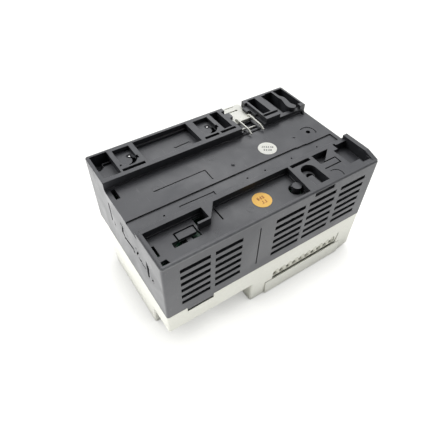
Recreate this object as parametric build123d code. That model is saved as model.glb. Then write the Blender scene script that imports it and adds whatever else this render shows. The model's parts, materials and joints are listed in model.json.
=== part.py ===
from build123d import *
import os
from math import cos, sin, radians

# Compact programmable controller, lying on its front face with its back up.
# All lengths are millimetres. Everything is modelled in case coordinates:
# x from the left end, y from the near long side, z up from the front face.
# save() moves it to the part frame, whose origin is the middle of the front face.

# ---- Driving dimensions -------------------------------------------------
LENGTH = 143.0            # along x
DEPTH = 90.0              # along y
HEIGHT = 80.0             # front face to the top of the rear ridge
WALL = 2.0
SPLIT_Z = 33.6            # parting line between front and rear housing
PARTING_GAP = 0.2
THINNED_WALL = 0.6        # end wall left round the knock-out lines
THINNED_BORDER = 1.8

RIM_Z = HEIGHT - 2.2      # rim round the near pockets
RIM_ROUND = 1.2
RAIL_SEAT_Z = HEIGHT - 5.5
STRIP_Z = RAIL_SEAT_Z - 0.8
POCKET_Z = HEIGHT - 7.0
CEILING_Z = HEIGHT - 9.0  # inner side of the rear wall
BLIND_Z = CEILING_Z + 0.8  # floor of the deep pockets that stop short of the inside
WELL_Z = HEIGHT - 2.8     # floor of the two screw wells in the ridge
LEDGE = 0.5               # narrow step at the foot of the long recess walls
LEDGE_RISE = 1.1

HOOK_Y = (23.8, 26.9)     # fixed hook wall that one rail edge slides under
RIDGE_Y = 64.5            # wall of the ridge that carries the latch
HOOK_UNDERCUT = 1.5

LATCH_X = (93.3, 109.2)   # sliding latch, upper part
LATCH_FLANGE = 1.0        # how far its lower flanges stand out each side
LATCH_TOP_Z = HEIGHT - 4.0
LATCH_FLOOR_Z = 72.3
PRONG_X = (96.7, 106.1)
PRONG_WIDTH = 0.85
PRONG_TIP_Z = RAIL_SEAT_Z + 1.15
BRIDGE_Z = 75.4
GUIDE_TAB_Y = (80.3, 85.6)  # tabs of the ridge that reach over the latch

SHOULDER_Z = 18.5         # shelf where the front housing steps in
CENTRE_Y = (19.0, 76.0)   # raised middle of the front
TAB_X = (12.3, 29.3)      # tongue of the rear housing that reaches over the near wall
TAB_Z = 31.8
BEVEL = (9.0, 3.6)        # sloping edge at the right end, along x and up z
NEAR_BAY_X = 57.0         # near terminal bay runs from here to the right end
FAR_BAY_X = 27.0

TERMINAL_PITCH = 5.3
NEAR_TERMINALS = 10
FAR_TERMINALS = 18
NEAR_ROW_X = 73.5         # left edge of the first near terminal
FAR_ROW_X = 31.1
WIRE_R = 2.1              # round end of a wire entry
BLOCK_Y = (2.2, 16.8)     # terminal block, near side
BLOCK_Z = (4.6, 22.2)
FUNNEL_Y = 0.9            # outer face of the wire funnels
WIRE_Z = 18.4             # centre of the round end of a wire entry
WIRE_HOLE_Z = 15.0
WIRE_HOLE_R = 1.3

COVER_HINGE_Y = 18.2
COVER_HINGE_Z = 2.1
COVER_PROUD = 1.2         # how far a terminal cover's lip stands out
COVER_LIP_TOP = 11.5
COVER_GAP = 0.25          # slot above the lip
COVER_LEAN = 1.0          # how far the top of the lip leans back from its foot
COVER_OVERHANG = 5.3      # cover runs this far past the row of terminals
CLEAR = 0.3               # gap round a moving cover
PIN_R = 1.0
PIN_CLEARANCE = 0.06

COMM_DOOR = (6.0, 36.0, 27.0, 63.0)        # x0, x1, y0, y1
BATTERY_DOOR = (105.0, 130.0, 32.0, 58.0)
DOOR_T = 1.7
DOOR_HINGE_R = 1.1
DOOR_PIN_R = 0.6

POWER_BOARD_Z = (66.4, 68.0)
IO_BOARD_Z = (22.6, 24.2)
CPU_BOARD_Z = (11.4, 13.0)
FRAME_Z = (26.6, 28.6)

CASE_SCREWS = [(22.9, 80.9, 75.7), (76.4, 80.9, 75.7), (104.9, 10.6, 70.4)]  # x, y, seat z
SCREW_HEAD_R = 1.5
SCREW_SHANK_R = 0.95
SCREW_BOSS_R = 2.6
POWER_SCREWS = [(8.0, 34.0), (8.0, 58.0), (135.0, 34.0), (135.0, 58.0)]
IO_SCREWS = [(12.0, 30.0), (12.0, 62.0), (131.0, 30.0), (131.0, 62.0)]
SPACERS = [(41.0, 27.0), (41.0, 63.0), (107.0, 27.0), (107.0, 63.0)]

LOUVRE_COLUMNS = [(9.5, 27.0), (29.8, 46.5), (68.1, 88.5), (91.3, 111.5), (115.0, 134.5)]
LOUVRE_ROWS = 6
LOUVRE_PITCH = 5.6
LOUVRE_HEIGHT = 2.8
LOUVRE_TOP = 70.8

SCREW_WELLS = [(15.0, 25.4), (69.2, 79.6)]   # x ranges of the round-ended wells
WELL_GAP_RUN = 2.6        # length of the deep gap along each well's right wall
STUD = (90.2, 10.9)              # round stud standing in a ring-shaped opening
STUD_R = 2.7
STUD_RING_R = 4.4

COMM_FLOOR_Z = 7.6
BATTERY_FLOOR_Z = 9.6
PORT = (16.0, 38.0, 6.8)         # x, y, outer radius of the round port
TRIMMERS = [(13.0, 55.0), (22.0, 55.0)]
RESET = (29.5, 55.0)
SWITCH = (29.5, 38.0)            # middle of the run/stop slide switch
SWITCH_TRAVEL = 4.0
LED_WINDOWS = [(44.0, 99.0, 24.6, 29.4), (44.0, 99.0, 61.6, 66.4)]
LED_COUNT = (14, 10)
BATTERY = (117.5, 45.0, 10.0)    # x, y, radius of the coin cell


# ---- Helpers ------------------------------------------------------------
def block(x0, x1, y0, y1, z0, z1):
    """Box between two corners."""
    return Pos((x0 + x1) / 2, (y0 + y1) / 2, (z0 + z1) / 2) * Box(x1 - x0, y1 - y0, z1 - z0)


def soft_block(x0, x1, y0, y1, z0, z1, radius):
    """Box with rounded vertical edges."""
    solid = block(x0, x1, y0, y1, z0, z1)
    return fillet(solid.edges().filter_by(Axis.Z), radius)


def column(x, y, radius, z0, z1):
    """Upright cylinder."""
    return Pos(x, y, (z0 + z1) / 2) * Cylinder(radius, z1 - z0)


def rod_x(y, z, radius, x0, x1):
    """Cylinder along x."""
    return Pos((x0 + x1) / 2, y, z) * Rot(0, 90, 0) * Cylinder(radius, x1 - x0)


def rod_y(x, z, radius, y0, y1):
    """Cylinder along y."""
    return Pos(x, (y0 + y1) / 2, z) * Rot(90, 0, 0) * Cylinder(radius, y1 - y0)


def prism(points, z0, z1):
    """Upright prism on an xy outline."""
    return extrude(Pos(0, 0, z0) * make_face(Polyline(*points, close=True)), z1 - z0)


def prism_x(points, x0, x1):
    """Prism along x on a yz outline."""
    face = make_face(Polyline(*[(x0, y, z) for y, z in points], close=True))
    return extrude(face, x1 - x0, dir=(1, 0, 0))


def prism_y(points, y0, y1):
    """Prism along y on an xz outline."""
    face = make_face(Polyline(*[(x, y0, z) for x, z in points], close=True))
    return extrude(face, y1 - y0, dir=(0, 1, 0))


def slit(points, width, z0, z1):
    """Narrow slot through the given xy points, with round corners and ends."""
    parts = [column(x, y, width / 2, z0, z1) for x, y in points]
    for (xa, ya), (xb, yb) in zip(points, points[1:]):
        run = Vector(xb - xa, yb - ya)
        angle = Vector(1, 0).get_signed_angle(run)
        middle = Pos((xa + xb) / 2, (ya + yb) / 2, (z0 + z1) / 2)
        parts.append(middle * Rot(0, 0, angle) * Box(run.length, width, z1 - z0))
    return parts


def arc_slit(x, y, radius, width, start, end, z0, z1):
    """Slot along an arc of a circle."""
    steps = 10
    angles = [radians(start + (end - start) * i / steps) for i in range(steps + 1)]
    return slit([(x + radius * cos(a), y + radius * sin(a)) for a in angles], width, z0, z1)


def mirror_y(solid):
    """The same piece on the far side of the case."""
    return mirror(solid, Plane.XZ.offset(-DEPTH / 2))


def save(name, shape):
    """Write one node in the part frame; a list of solids becomes a group."""
    if isinstance(shape, (list, tuple)):
        shape = Compound([s.solid() for s in shape])
    export_step(Pos(-LENGTH / 2, -DEPTH / 2, 0) * shape, f"parts/{name}.step")


# ---- Rear housing -------------------------------------------------------
def louvres(y0, y1):
    """Ventilation slots through a long side wall."""
    slots = []
    for x0, x1 in LOUVRE_COLUMNS:
        for row in range(LOUVRE_ROWS):
            top = LOUVRE_TOP - row * LOUVRE_PITCH
            slots.append(block(x0, x1, y0, y1, top - LOUVRE_HEIGHT, top))
    return slots


def near_pocket_cuts():
    """Recesses in the rear face between the near rim and the hook wall."""
    over = HEIGHT + 1
    near, far = 2.2, HOOK_Y[0]
    upper = [(2.6, near), (92.0, near), (93.8, far), (2.6, far)]
    lower = [(2.6, near), (91.7, near), (93.4, far - LEDGE), (2.6, far - LEDGE)]
    cuts = [prism(upper, POCKET_Z + LEDGE_RISE, over), prism(lower, POCKET_Z, over)]
    cuts.append(block(126.5, 140.0, 7.0, 20.5, POCKET_Z, over))
    cuts.append(block(130.0, 140.0, 20.0, far, POCKET_Z, over))
    return cuts


def near_pocket_openings():
    """Snap windows, slots and marks in the near part of the rear wall."""
    low, over = CEILING_Z - 1, HEIGHT + 1
    cuts = [block(29.9, 36.1, 15.9, HOOK_Y[0] - 0.7, low, over)]
    cuts.append(block(13.4, 29.0, 11.2, 14.6, low, over))
    cuts += slit([(17.2, 14.0), (17.2, 19.2), (28.2, 19.2), (28.2, 12.0)], 0.9, low, over)
    cuts.append(block(3.9, 5.3, 10.8, 18.0, low, over))
    corner = [(2.0, 1.8), (6.6, 1.8), (7.4, 5.2), (6.6, 7.7), (2.4, 7.4)]
    cuts.append(prism(corner, low, over))
    cuts += slit([(43.6, 14.4), (43.6, 22.6)], 0.8, low, over)
    ring = column(*STUD, STUD_RING_R, low, over)
    cuts.append(ring - block(92.6, 99.0, 0, 20, low, over))
    cuts.append(block(95.4, 109.4, 21.5, 23.8, BLIND_Z, over))
    cuts.append(prism([(112.0, 23.8), (124.8, 23.8), (116.0, 16.6), (111.8, 15.9)], 73.0, over))
    cuts += slit([(112.4, 16.0), (123.2, 16.0), (123.2, 11.3), (111.6, 11.3)], 0.8, 74.0, over)
    cuts += arc_slit(113.5, 4.4, 4.0, 0.5, -30, 110, RIM_Z - 0.5, over)
    cuts.append(block(134.0, 139.6, 4.0, 7.2, BLIND_Z, over))
    cuts.append(block(130.0, 131.6, 23.5, 25.2, BLIND_Z, over))
    cuts.append(block(94.0, 108.4, -1, 4.2, 73.9, 76.7))
    return cuts


def screw_well():
    """Well over the near case screw; a shelf and a round step stand in it."""
    over = HEIGHT + 1
    cut = block(97.6, 107.4, 3.9, 15.0, BLIND_Z, over)
    cut += column(102.5, 15.0, 4.9, BLIND_Z, over)
    cut -= block(97.0, 102.4, 3.0, 12.2, BLIND_Z - 1, RIM_Z - 1.2)
    collar = column(101.8, 14.6, 3.8, BLIND_Z - 1, RIM_Z - 3.2)
    return cut - (collar - column(102.6, 13.6, 2.3, BLIND_Z, over))


def screw_holes():
    """Holes for the case screws; the near one has its seat deep in the well."""
    cuts = []
    for x, y, seat in CASE_SCREWS:
        cuts.append(column(x, y, SCREW_HEAD_R + 0.25, seat, HEIGHT + 1))
        cuts.append(column(x, y, SCREW_SHANK_R + 0.2, CEILING_Z - 5, seat + 0.1))
    return cuts


def channel_cuts():
    """Rail channel with its strip, slits, holes and marks."""
    over = HEIGHT + 1
    seat, low = RAIL_SEAT_Z, CEILING_Z - 1
    cuts = [block(-1, LENGTH + 1, HOOK_Y[1], RIDGE_Y, seat + LEDGE_RISE * 0.6, over)]
    cuts.append(block(-1, LENGTH + 1, HOOK_Y[1], RIDGE_Y - LEDGE, seat, over))
    strip = [(-1, HOOK_Y[1]), (140.4, HOOK_Y[1]), (140.4, 36.9), (120.6, 36.9), (120.6, 37.3),
             (113.0, 37.3), (113.0, 37.8), (-1, 37.8)]
    cuts.append(prism(strip, STRIP_Z, over))
    cuts.append(block(-1, LENGTH + 1, HOOK_Y[1] - HOOK_UNDERCUT, HOOK_Y[1] + 0.1, STRIP_Z, 75.6))
    cuts.append(block(2.7, 5.3, 55.0, 63.0, low, over))
    cuts += slit([(22.5, 49.8), (54.8, 49.8), (55.1, 41.4)], 0.6, seat - 1.2, over)
    cuts += slit([(28.9, 33.0), (49.9, 33.4), (50.2, 31.0)], 0.6, STRIP_Z - 1.2, over)
    cuts.append(column(129.7, 45.5, 1.5, low, over))
    cuts += arc_slit(129.7, 45.5, 4.9, 0.6, -36, 120, seat - 0.5, over)
    cuts.append(column(118.0, 45.5, 0.9, seat - 0.3, over))
    for x in (18.9, 72.2, 84.8, 104.7, 124.9):
        cuts.append(column(x, 32.0, 0.55, STRIP_Z - 1.0, over))
    return cuts


def curved_wall():
    """Wavy wall between the two right-hand pockets; it ends in a lobe at the channel."""
    outline = Polyline((132.7, 88.9), (134.2, 88.9), (134.8, 81.2))
    outline += Spline((134.8, 81.2), (136.3, 78.4), (136.0, 74.0), (135.8, 69.6), (136.7, 67.0),
                      (135.1, 65.2), (132.4, 65.9), (131.2, 69.3), (132.2, 73.7), (132.7, 79.7))
    outline += Line((132.7, 79.7), (132.7, 88.9))
    return extrude(Pos(0, 0, CEILING_Z) * make_face(outline), HEIGHT - CEILING_Z + 2)


def ridge_cuts():
    """Pockets, wells and slots in the ridge that carries the latch."""
    over = HEIGHT + 1
    shallow = HEIGHT - 4.6
    cuts = [block(2.0, 12.3, 67.4, 88.2, HEIGHT - 5.2, over)]
    corner = [(2.0, 88.2), (12.3, 88.2), (12.3, 85.8), (7.3, 85.8), (7.3, 82.0), (4.8, 80.2),
              (3.0, 80.2), (3.0, 83.6), (2.0, 84.6)]
    cuts.append(prism(corner, BLIND_Z, over))
    cuts.append(block(7.6, 12.3, 82.4, 84.8, HEIGHT - 6.4, over))
    cuts.append(block(28.5, 64.6, 68.0, 87.9, HEIGHT - 3.0, over))
    cuts.append(block(28.5, 64.6, 68.0, 86.7, shallow, over))
    cuts.append(block(58.9, 64.6, 68.0, 69.6, BLIND_Z, over))
    cuts += slit([(50.0, 76.1), (60.4, 75.4)], 0.7, shallow - 1.2, over)
    for x0, x1 in SCREW_WELLS:
        middle, radius = (x0 + x1) / 2, (x1 - x0) / 2
        y = 70.6 + radius
        cuts.append(block(x0, x1, y, 86.8, WELL_Z, over))
        cuts.append(column(middle, y, radius, WELL_Z, over))
        island = column(middle - 0.8, y + 2.2, radius - 1.4, BLIND_Z - 1, over + 1)
        cuts.append(column(middle, y, radius - 0.15, BLIND_Z, over) - island)
        cuts.append(block(x1 - 1.4, x1 - 0.15, y, y + WELL_GAP_RUN, BLIND_Z, over))
        cuts.append(block(x1 - 0.5, x1 + 0.9, 73.8, 76.6, WELL_Z, over))
    cuts.append(column(14.4, 72.8, 0.7, HEIGHT - 3, over))
    for x0, x1 in ((13.6, 27.4), (67.3, 77.1)):
        cuts.append(block(x0, x1, 67.3, 69.4, BLIND_Z, over))
    cuts.append(block(82.5, 88.3, 70.4, 88.2, BLIND_Z, over))
    cuts.append(block(112.3, 118.6, 70.4, 88.0, BLIND_Z, over))
    right = block(123.6, 127.1, 69.1, 87.4, WELL_Z, over)
    right += block(127.0, 141.5, 67.4, 88.2, BLIND_Z, over)
    right += block(122.0, 139.0, RIDGE_Y - 0.6, 69.2, WELL_Z, over)
    cuts.append(right - curved_wall())
    cuts.append(block(139.4, 140.8, 61.6, RIDGE_Y, BLIND_Z, over))
    return cuts


def latch_gap_cuts():
    """Guide for the sliding latch, and the slots of its leaf spring."""
    over = HEIGHT + 1
    x0, x1 = LATCH_X
    play = 0.2
    cuts = [block(x0 - play, x1 + play, 74.4, DEPTH + 1, LATCH_FLOOR_Z, over)]
    flange = LATCH_FLANGE + play
    cuts.append(block(x0 - flange, x1 + flange, 74.4, DEPTH + 1, LATCH_FLOOR_Z, 74.6))
    cuts.append(block(x0 - play, x1 + play, RIDGE_Y - 0.6, 74.5, BRIDGE_Z, over))
    cuts.append(block(PRONG_X[0] + 1.3, PRONG_X[1] - 1.0, RIDGE_Y + 0.9, 73.4, 73.6, over))
    cuts.append(block(90.5, 110.9, 74.4, 86.4, HEIGHT - 2.0, over))
    cuts.append(block(91.6, 110.9, RIDGE_Y - 0.6, 74.5, HEIGHT - 3.2, over))
    cuts.append(block(99.9, 103.1, 77.8, 85.3, CEILING_Z - 1, over))
    cuts.append(block(78.6, 89.4, 67.3, 69.4, 73.2, over))
    cuts.append(block(111.2, 122.1, 67.3, 69.4, 73.2, over))
    cuts.append(block(89.3, 111.3, 67.7, 69.3, 73.2, 75.3))
    return cuts


def guide_tabs():
    """Tabs either side of the latch opening that hold the latch down."""
    y0, y1 = GUIDE_TAB_Y
    low, high = LATCH_TOP_Z + 0.15, HEIGHT - 2.0
    reach = PRONG_WIDTH / 2 + 0.3
    return [soft_block(91.0, PRONG_X[0] - reach, y0, y1, low, high, 0.5),
            soft_block(PRONG_X[1] + reach, 111.0, y0, y1, low, high, 0.5)]


def left_face_cuts():
    """Outlines of the knock-outs in the left end wall, cut right through."""
    lines = [([(61.9, 66.7), (61.9, 54.3)], 1.9),
             ([(59.1, 54.4), (58.0, 52.0)], 0.9),
             ([(46.6, 64.8), (44.8, 57.6), (32.9, 55.8)], 2.0),
             ([(29.2, 62.5), (26.4, 57.6), (23.4, 56.2), (20.0, 56.0)], 1.2),
             ([(12.8, 56.1), (11.2, 53.5)], 1.0),
             ([(27.1, 77.3), (25.9, 75.9)], 0.5)]
    cuts = []
    for points, width in lines:
        cuts += [Plane.YZ * part for part in slit(points, width, -0.8, WALL + 0.2)]
        thinned = width + 2 * THINNED_BORDER
        cuts += [Plane.YZ * part for part in slit(points, thinned, THINNED_WALL, WALL + 0.2)]
    wedge = [(17.6, 65.5), (14.8, 62.3), (16.0, 51.6), (17.8, 51.6), (18.0, 60.0)]
    cuts.append(prism_x(wedge, -1, WALL + 0.2))
    cuts.append(block(THINNED_WALL, WALL + 0.2, 13.0, 20.5, 50.0, 67.0))
    return cuts


def rear_housing():
    base_z = SPLIT_Z + PARTING_GAP / 2
    body = soft_block(0, LENGTH, 0, DEPTH, base_z, RIM_Z, 1.4)
    body = fillet(body.faces().sort_by(Axis.Z)[-1].edges(), RIM_ROUND)
    ridge = soft_block(0, LENGTH, RIDGE_Y - 3, DEPTH, RAIL_SEAT_Z - 2, HEIGHT, 1.4)
    ridge = fillet(ridge.faces().sort_by(Axis.Z)[-1].edges(), 0.5)
    ear = prism_x([(1.2, RIM_Z - 2), (1.2, RIM_Z - 0.2), (9.2, HEIGHT), (26.7, HEIGHT),
                   (26.7, RIM_Z - 2)], 140.0, LENGTH)
    body = body + ridge + ear
    body -= block(WALL, LENGTH - WALL, WALL, DEPTH - WALL, base_z - 1, CEILING_Z)
    body = body.cut(*near_pocket_cuts())
    gusset = prism([(36.0, 23.9), (43.5, 23.9), (36.4, 14.6), (29.1, 14.6), (29.1, 15.9),
                    (36.0, 15.9)], POCKET_Z - 0.5, RIM_Z)
    body = body + gusset
    for group in (channel_cuts(), near_pocket_openings(), [screw_well()], ridge_cuts(),
                  latch_gap_cuts(), left_face_cuts()):
        body = body.cut(*group)
    body = body.cut(*louvres(-1, WALL + 1), *louvres(DEPTH - WALL - 1, DEPTH + 1))
    body = body.cut(*[block(57.3, 58.1, y, y + 1.2, 40.0, 71.0) for y in (-0.2, DEPTH - 1.0)])
    extras = [column(*STUD, STUD_R, CEILING_Z, HEIGHT - 4.2),
              block(21.5, 24.5, 10.5, 15.5, 69.4, CEILING_Z + 0.2),
              block(STUD[0] - 0.8, STUD[0] + 0.8, STUD[1] + 1, STUD[1] + STUD_RING_R + 1,
                    CEILING_Z, POCKET_Z - 0.3),
              Pos(71.1, 44.9, RAIL_SEAT_Z + 0.3) * Cone(1.4, 0.4, 0.8)]
    extras += guide_tabs()
    for x, y, seat in CASE_SCREWS:
        base = min(seat - 2.0, CEILING_Z)
        extras.append(column(x, y, SCREW_BOSS_R, base, max(seat, CEILING_Z + 0.2)))
    for x, y in POWER_SCREWS:
        extras.append(column(x, y, 3.0, POWER_BOARD_Z[1] + 0.1, CEILING_Z + 0.2))
    for extra in extras:
        body = body + extra
    body = body.cut(*screw_holes())
    for x, y in POWER_SCREWS:
        body -= column(x, y, 1.3, POWER_BOARD_Z[1] - 1, 72.6)
    body += block(TAB_X[0] + 0.2, TAB_X[1] - 0.2, 0, WALL, TAB_Z, base_z + 1)
    return body


# ---- Latch --------------------------------------------------------------
def din_latch():
    x0, x1 = LATCH_X
    plate = block(x0, x1, 74.7, 93.2, LATCH_FLOOR_Z + 0.15, LATCH_TOP_Z)
    plate = fillet(plate.edges().filter_by(Axis.Z).sort_by(Axis.Y)[-2:], 1.5)
    flange = block(x0 - LATCH_FLANGE, x1 + LATCH_FLANGE, 74.7, 89.6, LATCH_FLOOR_Z + 0.15, 74.4)
    latch = plate + flange
    top = LATCH_TOP_Z
    latch -= block(97.6, 104.0, 87.0, 87.9, top - 2.2, top + 1)
    latch -= column(103.6, 87.4, 0.8, top - 2.2, top + 1)
    latch -= block(97.6, 104.2, 91.8, 92.3, top - 0.6, top + 1)
    rib = [(78.5, top - 0.4), (78.5, top + 1.2), (76.8, top + 2.0), (65.2, top + 2.0),
           (61.0, PRONG_TIP_Z + 0.7), (61.0, PRONG_TIP_Z), (62.0, PRONG_TIP_Z),
           (65.4, top + 0.8), (74.9, top + 0.8), (74.9, top - 0.4)]
    for x in PRONG_X:
        latch += prism_x(rib, x - PRONG_WIDTH / 2, x + PRONG_WIDTH / 2)
    latch += block(93.5, PRONG_X[0], 66.6, 67.5, top, top + 1.3)
    latch += block(PRONG_X[0], PRONG_X[1], 74.7, 76.0, top - 0.5, top + 1.2)
    latch += block(100.2, 102.8, 78.1, 79.9, CEILING_Z + 0.3, LATCH_FLOOR_Z + 0.5)
    return latch


def latch_spring():
    """Leaf that lies across the ridge, its ends turned up in two slots."""
    leaf = block(84.0, 114.6, 68.1, 68.9, 73.5, 75.0)
    for x0, x1 in ((84.0, 88.9), (111.6, 114.6)):
        leaf += block(x0, x1, 68.1, 68.9, 74.0, HEIGHT - 2.2)
    return leaf


# ---- Front housing ------------------------------------------------------
def row_end(row_x, count):
    return row_x + count * TERMINAL_PITCH


def cover_span(row_x, count):
    return row_x - COVER_OVERHANG, row_end(row_x, count) + COVER_OVERHANG


def bay_cuts(row_x, count):
    """Terminal bay on the near side: cover recess, block pocket, wire openings."""
    x0, x1 = cover_span(row_x, count)
    xa, xb = row_x, row_end(row_x, count)
    cuts = [block(x0 - CLEAR, x1 + CLEAR, -2, COVER_HINGE_Y + 2.2, -1, BLOCK_Z[0] - 0.7)]
    cuts.append(block(x0 - CLEAR, x1 + CLEAR, -2, 0.7, -1, COVER_LIP_TOP + COVER_GAP))
    cuts.append(block(xa - 1.6, xb + 1.6, BLOCK_Y[0] - 0.2, BLOCK_Y[1] + 0.2, -1, SHOULDER_Z + 5))
    cuts.append(block(xa, xb, -2, WALL + 1, -1, WIRE_Z))
    for i in range(count):
        middle = row_x + (i + 0.5) * TERMINAL_PITCH
        cuts.append(rod_y(middle, WIRE_Z, WIRE_R, -2, WALL + 1))
    end_slit = [(xb - 0.2, COVER_LIP_TOP), (xb + 1.6, COVER_LIP_TOP), (xb + 2.6, WIRE_Z + 3.2),
                (xb + 1.5, WIRE_Z + 3.2)]
    cuts.append(prism_y(end_slit, -1, WALL + 0.1))
    cuts.append(rod_x(COVER_HINGE_Y, COVER_HINGE_Z, PIN_R + PIN_CLEARANCE, x0 - 2.2, x1 + 2.2))
    return cuts


def door_bay(door, floor_z):
    """Walls and floor of the pocket behind a small door."""
    x0, x1, y0, y1 = door
    wall = 1.4
    return block(x0 - 1, x1 + 1, y0 - wall - 1, y1 + wall + 1, WALL - 0.1, floor_z + wall)


def door_bay_cuts(door, floor_z):
    x0, x1, y0, y1 = door
    gap = 0.2
    cuts = [block(x0 - gap, x1 + gap, y0 - gap, y1 + gap, -1, 2.2)]
    cuts.append(block(x0 + 0.4, x1 - 1.4, y0 + 1.2, y1 - 1.2, -1, floor_z))
    cuts.append(rod_y(x0 + 1.2, 1.3, DOOR_HINGE_R + 0.3, y0 - gap, y1 + gap))
    cuts.append(rod_y(x0 + 1.2, 1.3, DOOR_PIN_R + PIN_CLEARANCE, y0 - 1.3, y1 + 1.3))
    return cuts


def comm_bay_holes():
    low, high = COMM_FLOOR_Z - 1, COMM_FLOOR_Z + 3
    holes = [column(PORT[0], PORT[1], PORT[2] + 0.2, low, high)]
    holes += [column(x, y, 3.2, low, high) for x, y in TRIMMERS]
    holes.append(column(RESET[0], RESET[1], 2.3, low, high))
    x, y = SWITCH
    holes.append(block(x - 1.8, x + 1.8, y - 4.4, y + 4.4, low, high))
    return holes


def front_housing():
    top = SPLIT_Z - PARTING_GAP / 2
    body = soft_block(0, LENGTH, 0, DEPTH, SHOULDER_Z, top, 1.4)
    y0, y1 = CENTRE_Y
    body += soft_block(0, LENGTH, y0, y1, 0, SHOULDER_Z + 1, 1.4)
    body += soft_block(NEAR_BAY_X, LENGTH, 0, 45, 0, SHOULDER_Z + 1, 1.4)
    body += soft_block(FAR_BAY_X, LENGTH, 45, DEPTH, 0, SHOULDER_Z + 1, 1.4)
    body = chamfer(body.faces().sort_by(Axis.Z)[0].outer_wire().edges(), 0.8)
    body -= prism_y([(LENGTH - BEVEL[0], 0), (LENGTH, BEVEL[1]), (LENGTH + 1, BEVEL[1]),
                     (LENGTH + 1, -1), (LENGTH - BEVEL[0], -1)], -1, DEPTH + 1)
    body -= block(WALL, LENGTH - WALL, WALL, DEPTH - WALL, SHOULDER_Z + WALL, top + 1)
    body -= block(WALL, LENGTH - BEVEL[0] - 1, 22.2, 72.0, WALL, SHOULDER_Z + WALL + 1)
    body -= block(WALL, LENGTH - WALL, 22.2, 72.0, BEVEL[1] + WALL, SHOULDER_Z + WALL + 1)
    body -= block(NEAR_BAY_X + WALL, 65.0, WALL, 20.0, WALL, SHOULDER_Z + WALL + 1)
    body -= block(FAR_BAY_X + WALL * 0.75, 29.2, 70.0, DEPTH - WALL, 4.0, SHOULDER_Z + WALL + 1)
    lip = block(WALL, LENGTH - WALL, WALL, DEPTH - WALL, top - 2, top + 2.6)
    lip -= block(WALL + 1.2, LENGTH - WALL - 1.2, WALL + 1.2, DEPTH - WALL - 1.2, top - 3, top + 3)
    shrink = 0.15
    lip = lip & block(WALL + shrink, LENGTH - WALL - shrink, WALL + shrink, DEPTH - WALL - shrink,
                      top - 3, top + 3)
    body += lip + block(WALL, LENGTH - WALL, WALL - 0.5, WALL + 1.2, top - 2, top) \
        + block(WALL, LENGTH - WALL, DEPTH - WALL - 1.2, DEPTH - WALL + 0.5, top - 2, top) \
        + block(WALL - 0.5, WALL + 1.2, WALL, DEPTH - WALL, top - 2, top) \
        + block(LENGTH - WALL - 1.2, LENGTH - WALL + 0.5, WALL, DEPTH - WALL, top - 2, top)
    body = body.cut(*bay_cuts(NEAR_ROW_X, NEAR_TERMINALS))
    body = body.cut(*[mirror_y(c) for c in bay_cuts(FAR_ROW_X, FAR_TERMINALS)])
    for door, floor_z in ((COMM_DOOR, COMM_FLOOR_Z), (BATTERY_DOOR, BATTERY_FLOOR_Z)):
        body += door_bay(door, floor_z)
        body = body.cut(*door_bay_cuts(door, floor_z))
    body = body.cut(*comm_bay_holes())
    body -= column(BATTERY[0], BATTERY[1], BATTERY[2] + 1.7, BATTERY_FLOOR_Z - 1, BATTERY_FLOOR_Z + 3)
    for x0, x1, wy0, wy1 in LED_WINDOWS:
        body -= block(x0, x1, wy0, wy1, -1, WALL + 1)
        body -= block(x0 - 1, x1 + 1, wy0 - 1, wy1 + 1, WALL - 0.9, WALL + 1)
    for x in (3.4, LENGTH - 3.4):
        for y in (3.4, DEPTH - 3.4):
            body += column(x, y, 2.0, SHOULDER_Z + 1, FRAME_Z[0] - 0.1)
    x0, x1 = TAB_X
    body -= block(x0, x1, -1, WALL + 0.05, TAB_Z - 1.9, top + 1)
    body -= block(x0 + 0.6, x1 - 0.6, 0.5, WALL + 3, TAB_Z - 4.0, TAB_Z - 1.0)
    return body


# ---- Terminal rows ------------------------------------------------------
def terminal_block(row_x, count):
    """Moulded block with a wire funnel and a clamp chamber for each terminal, near side."""
    end_wall, play = 1.3, 0.4
    y0, y1 = BLOCK_Y
    right = row_end(row_x, count)
    body = block(row_x - end_wall, right + end_wall, y0, y1, *BLOCK_Z)
    body += block(row_x + play, right - play, FUNNEL_Y, y0 + 0.1, COVER_LIP_TOP + 0.8, WIRE_Z - play)
    cuts = []
    for i in range(count):
        x = row_x + (i + 0.5) * TERMINAL_PITCH
        body += rod_y(x, WIRE_Z, WIRE_R - play, FUNNEL_Y, y0 + 0.1)
        cuts.append(block(x - WIRE_R, x + WIRE_R, y0 + 1.2, 12.6, BLOCK_Z[0] - 1, WIRE_Z))
        cuts.append(rod_y(x, WIRE_HOLE_Z, WIRE_HOLE_R, FUNNEL_Y - 1, y0 + 2))
        funnel = Cone(WIRE_HOLE_R, WIRE_HOLE_R + 0.7, 0.8)
        cuts.append(Pos(x, FUNNEL_Y + 0.35, WIRE_HOLE_Z) * Rot(90, 0, 0) * funnel)
    return body.cut(*cuts)


def terminal_screws(row_x, count):
    """Slotted clamp screws, heads towards the front."""
    screws = []
    for i in range(count):
        x = row_x + (i + 0.5) * TERMINAL_PITCH
        screw = column(x, 8.0, 1.9, 5.0, 6.7) + column(x, 8.0, 1.2, 6.6, 15.6)
        screw -= block(x - 2.5, x + 2.5, 7.7, 8.3, 4.5, 5.7)
        screw -= block(x - 0.3, x + 0.3, 5.5, 10.5, 4.5, 5.7)
        screws.append(screw)
    return screws


def terminal_clamps(row_x, count):
    """Square wire clamps held on the screws."""
    clamps = []
    for i in range(count):
        x = row_x + (i + 0.5) * TERMINAL_PITCH
        clamp = block(x - 1.95, x + 1.95, 4.6, 11.6, 6.8, 7.7)
        clamp += block(x - 1.95, x + 1.95, 4.6, 5.4, 6.8, 9.6)
        clamp += block(x - 1.95, x + 1.95, 10.8, 11.6, 6.8, 9.6)
        clamps.append(clamp - column(x, 8.0, 1.3, 6, 10))
    return clamps


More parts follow.
